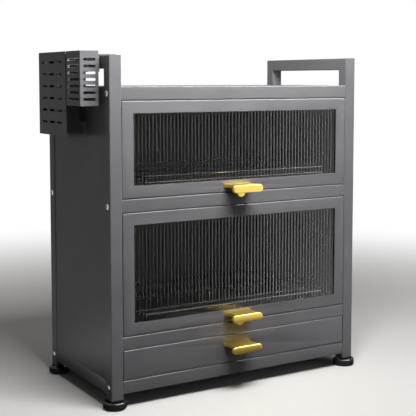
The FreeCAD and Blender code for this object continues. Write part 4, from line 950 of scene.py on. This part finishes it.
def cards(tree, across, along):
    """Brightness by compass angle atan2(x, -y): 0 in front, a quarter turn to the right."""
    forwards = add(tree, "ShaderNodeMath", {0: along, 1: -1.0}, operation="MULTIPLY")
    angle = add(
        tree,
        "ShaderNodeMath",
        {0: across, 1: (forwards, "Value")},
        operation="ARCTAN2",
    )
    turn = add(
        tree,
        "ShaderNodeMapRange",
        {"Value": (angle, "Value"), "From Min": -math.pi, "From Max": math.pi},
    )
    sides = add(tree, "ShaderNodeValToRGB", {"Fac": (turn, "Result")})
    stops = sides.color_ramp.elements
    while len(stops) < len(CARDS):
        stops.new(0.5)
    for stop, (degrees, code) in zip(stops, CARDS):
        stop.position = degrees / 360.0 + 0.5
        stop.color = linear(code)
    return (sides, "Color")


# %% Floor
FLOOR_SIZE = 12.0
PAPER_ENDS = (0.9, 2.6)  # over this distance the paper turns into the backdrop
CARDS_START = (0.45, 0.62)  # nearer than this the floor mirrors as dim


def studio_floor():
    """Matt paper that keeps the shadow, white far off for the lens, cards for mirrors."""
    mesh = bpy.data.meshes.new("floor")
    edge = np.array([(-1, -1, 0), (1, -1, 0), (1, 1, 0), (-1, 1, 0)]) * FLOOR_SIZE / 2
    mesh.from_pydata(edge.tolist(), [], [(0, 1, 2, 3)])
    floor = bpy.data.objects.new("floor", mesh)
    bpy.context.scene.collection.objects.link(floor)
    material, tree, output = new_material("paper_sweep")
    rays = add(tree, "ShaderNodeLightPath")
    # Light that bounces meets a darker paper, so that little of it reaches the lower fronts.
    paper = add(
        tree,
        "ShaderNodeMix",
        {0: (rays, "Is Diffuse Ray"), 6: linear("#DDDBD7"), 7: linear("#6E6D6B")},
        data_type="RGBA",
    )
    matt = add(tree, "ShaderNodeBsdfDiffuse", {"Color": (paper, 2)})
    place = add(tree, "ShaderNodeTexCoord")
    parts = add(tree, "ShaderNodeSeparateXYZ", {"Vector": (place, "Object")})
    distance = add(
        tree,
        "ShaderNodeVectorMath",
        {0: (place, "Object")},
        operation="LENGTH",
    )
    fade = add(
        tree,
        "ShaderNodeMapRange",
        {"Value": (distance, "Value"), "From Min": PAPER_ENDS[0], "From Max": PAPER_ENDS[1]},
        interpolation_type="SMOOTHSTEP",
    )
    shown = add(
        tree,
        "ShaderNodeMath",
        {0: (fade, "Result"), 1: (rays, "Is Camera Ray")},
        operation="MULTIPLY",
    )
    swapped = add(
        tree,
        "ShaderNodeMath",
        {0: (shown, "Value"), 1: (rays, "Is Glossy Ray")},
        operation="MAXIMUM",
    )
    shade = add(
        tree,
        "ShaderNodeMapRange",
        {"Value": (distance, "Value"), "From Min": CARDS_START[0], "From Max": CARDS_START[1]},
    )
    card = add(
        tree,
        "ShaderNodeMix",
        {
            0: (shade, "Result"),
            6: linear(DIM),
            7: cards(tree, (parts, "X"), (parts, "Y")),
        },
        data_type="RGBA",
    )
    glow = add(
        tree,
        "ShaderNodeMix",
        {0: (rays, "Is Glossy Ray"), 6: linear("#FFFFFF"), 7: (card, 2)},
        data_type="RGBA",
    )
    backdrop = add(tree, "ShaderNodeEmission", {"Color": (glow, 2), "Strength": 1.0})
    both = add(
        tree,
        "ShaderNodeMixShader",
        {0: (swapped, "Value"), 1: (matt, "BSDF"), 2: (backdrop, "Emission")},
    )
    tree.links.new(both.outputs["Shader"], output.inputs["Surface"])
    mesh.materials.append(material)


studio_floor()

# %% Lamps


def lamp(name, place, aim, size, power):
    """A soft lamp, width by height and in watts; lens and panes don't see it."""
    data = bpy.data.lights.new(name, "AREA")
    data.shape = "RECTANGLE"
    data.size, data.size_y = size
    data.energy = power
    item = bpy.data.objects.new(name, data)
    bpy.context.scene.collection.objects.link(item)
    item.location = place
    item.rotation_euler = (Vector(aim) - Vector(place)).to_track_quat("-Z", "Y").to_euler()
    item.visible_camera = False
    item.visible_transmission = False
    return item


lamp("key", (-0.06, -0.7, 1.48), (0.0, -0.15, 1.15), (0.8, 0.6), 34.0)
strip = lamp("strip", (0.72, -0.78, 1.46), (0.15, -0.15, 0.5), (1.2, 0.3), 60.0)
strip.visible_diffuse = False
fill = lamp("fill", (0.8, -0.85, 0.3), (0.15, -0.15, 0.2), (0.5, 0.4), 0.7)
fill.visible_glossy = False
gleam = lamp("gleam", (0.34, -0.76, 0.28), (0.0, -0.25, 0.28), (0.4, 0.52), 0.6)
handles = bpy.data.collections.new("handles")
for door in ("upper", "lower", "drawer"):
    handles.objects.link(bpy.data.objects[door + "_handle_casting"])
gleam.light_linking.receiver_collection = handles
lamp("top", (0.5, 0.3, 2.2), (0.2, 0.0, 0.4), (1.5, 1.5), 7.0)

# %% Room


def room():
    """White for the lens, the cards for mirrors and clear sheet, faint light for the rest."""
    world = bpy.data.worlds.new("studio")
    bpy.context.scene.world = world
    world.use_nodes = True
    tree = world.node_tree
    tree.nodes.clear()
    rays = add(tree, "ShaderNodeLightPath")
    way = add(tree, "ShaderNodeTexCoord")
    parts = add(tree, "ShaderNodeSeparateXYZ", {"Vector": (way, "Generated")})
    clear = add(
        tree,
        "ShaderNodeMath",
        {0: (rays, "Is Glossy Ray"), 1: (rays, "Is Transmission Ray")},
        operation="MAXIMUM",
    )
    direct = add(
        tree,
        "ShaderNodeMath",
        {0: (rays, "Diffuse Depth"), 1: 0.5},
        operation="LESS_THAN",
    )
    mirrored = add(
        tree,
        "ShaderNodeMath",
        {0: (clear, "Value"), 1: (direct, "Value")},
        operation="MULTIPLY",
    )
    seen = add(
        tree,
        "ShaderNodeMix",
        {
            0: (mirrored, "Value"),
            6: linear("#4C4C4C"),
            7: cards(tree, (parts, "X"), (parts, "Y")),
        },
        data_type="RGBA",
    )
    lens = add(
        tree,
        "ShaderNodeMix",
        {0: (rays, "Is Camera Ray"), 6: (seen, 2), 7: linear("#FFFFFF")},
        data_type="RGBA",
    )
    sky = add(tree, "ShaderNodeBackground", {"Color": (lens, 2), "Strength": 1.0})
    add(tree, "ShaderNodeOutputWorld", {"Surface": (sky, "Background")})


room()
bpy.context.scene.view_settings.view_transform = "Standard"

# %% [markdown]
# ## Last update
# The view layer is brought up to date once more.

# %% Update the view layer
bpy.context.view_layer.update()
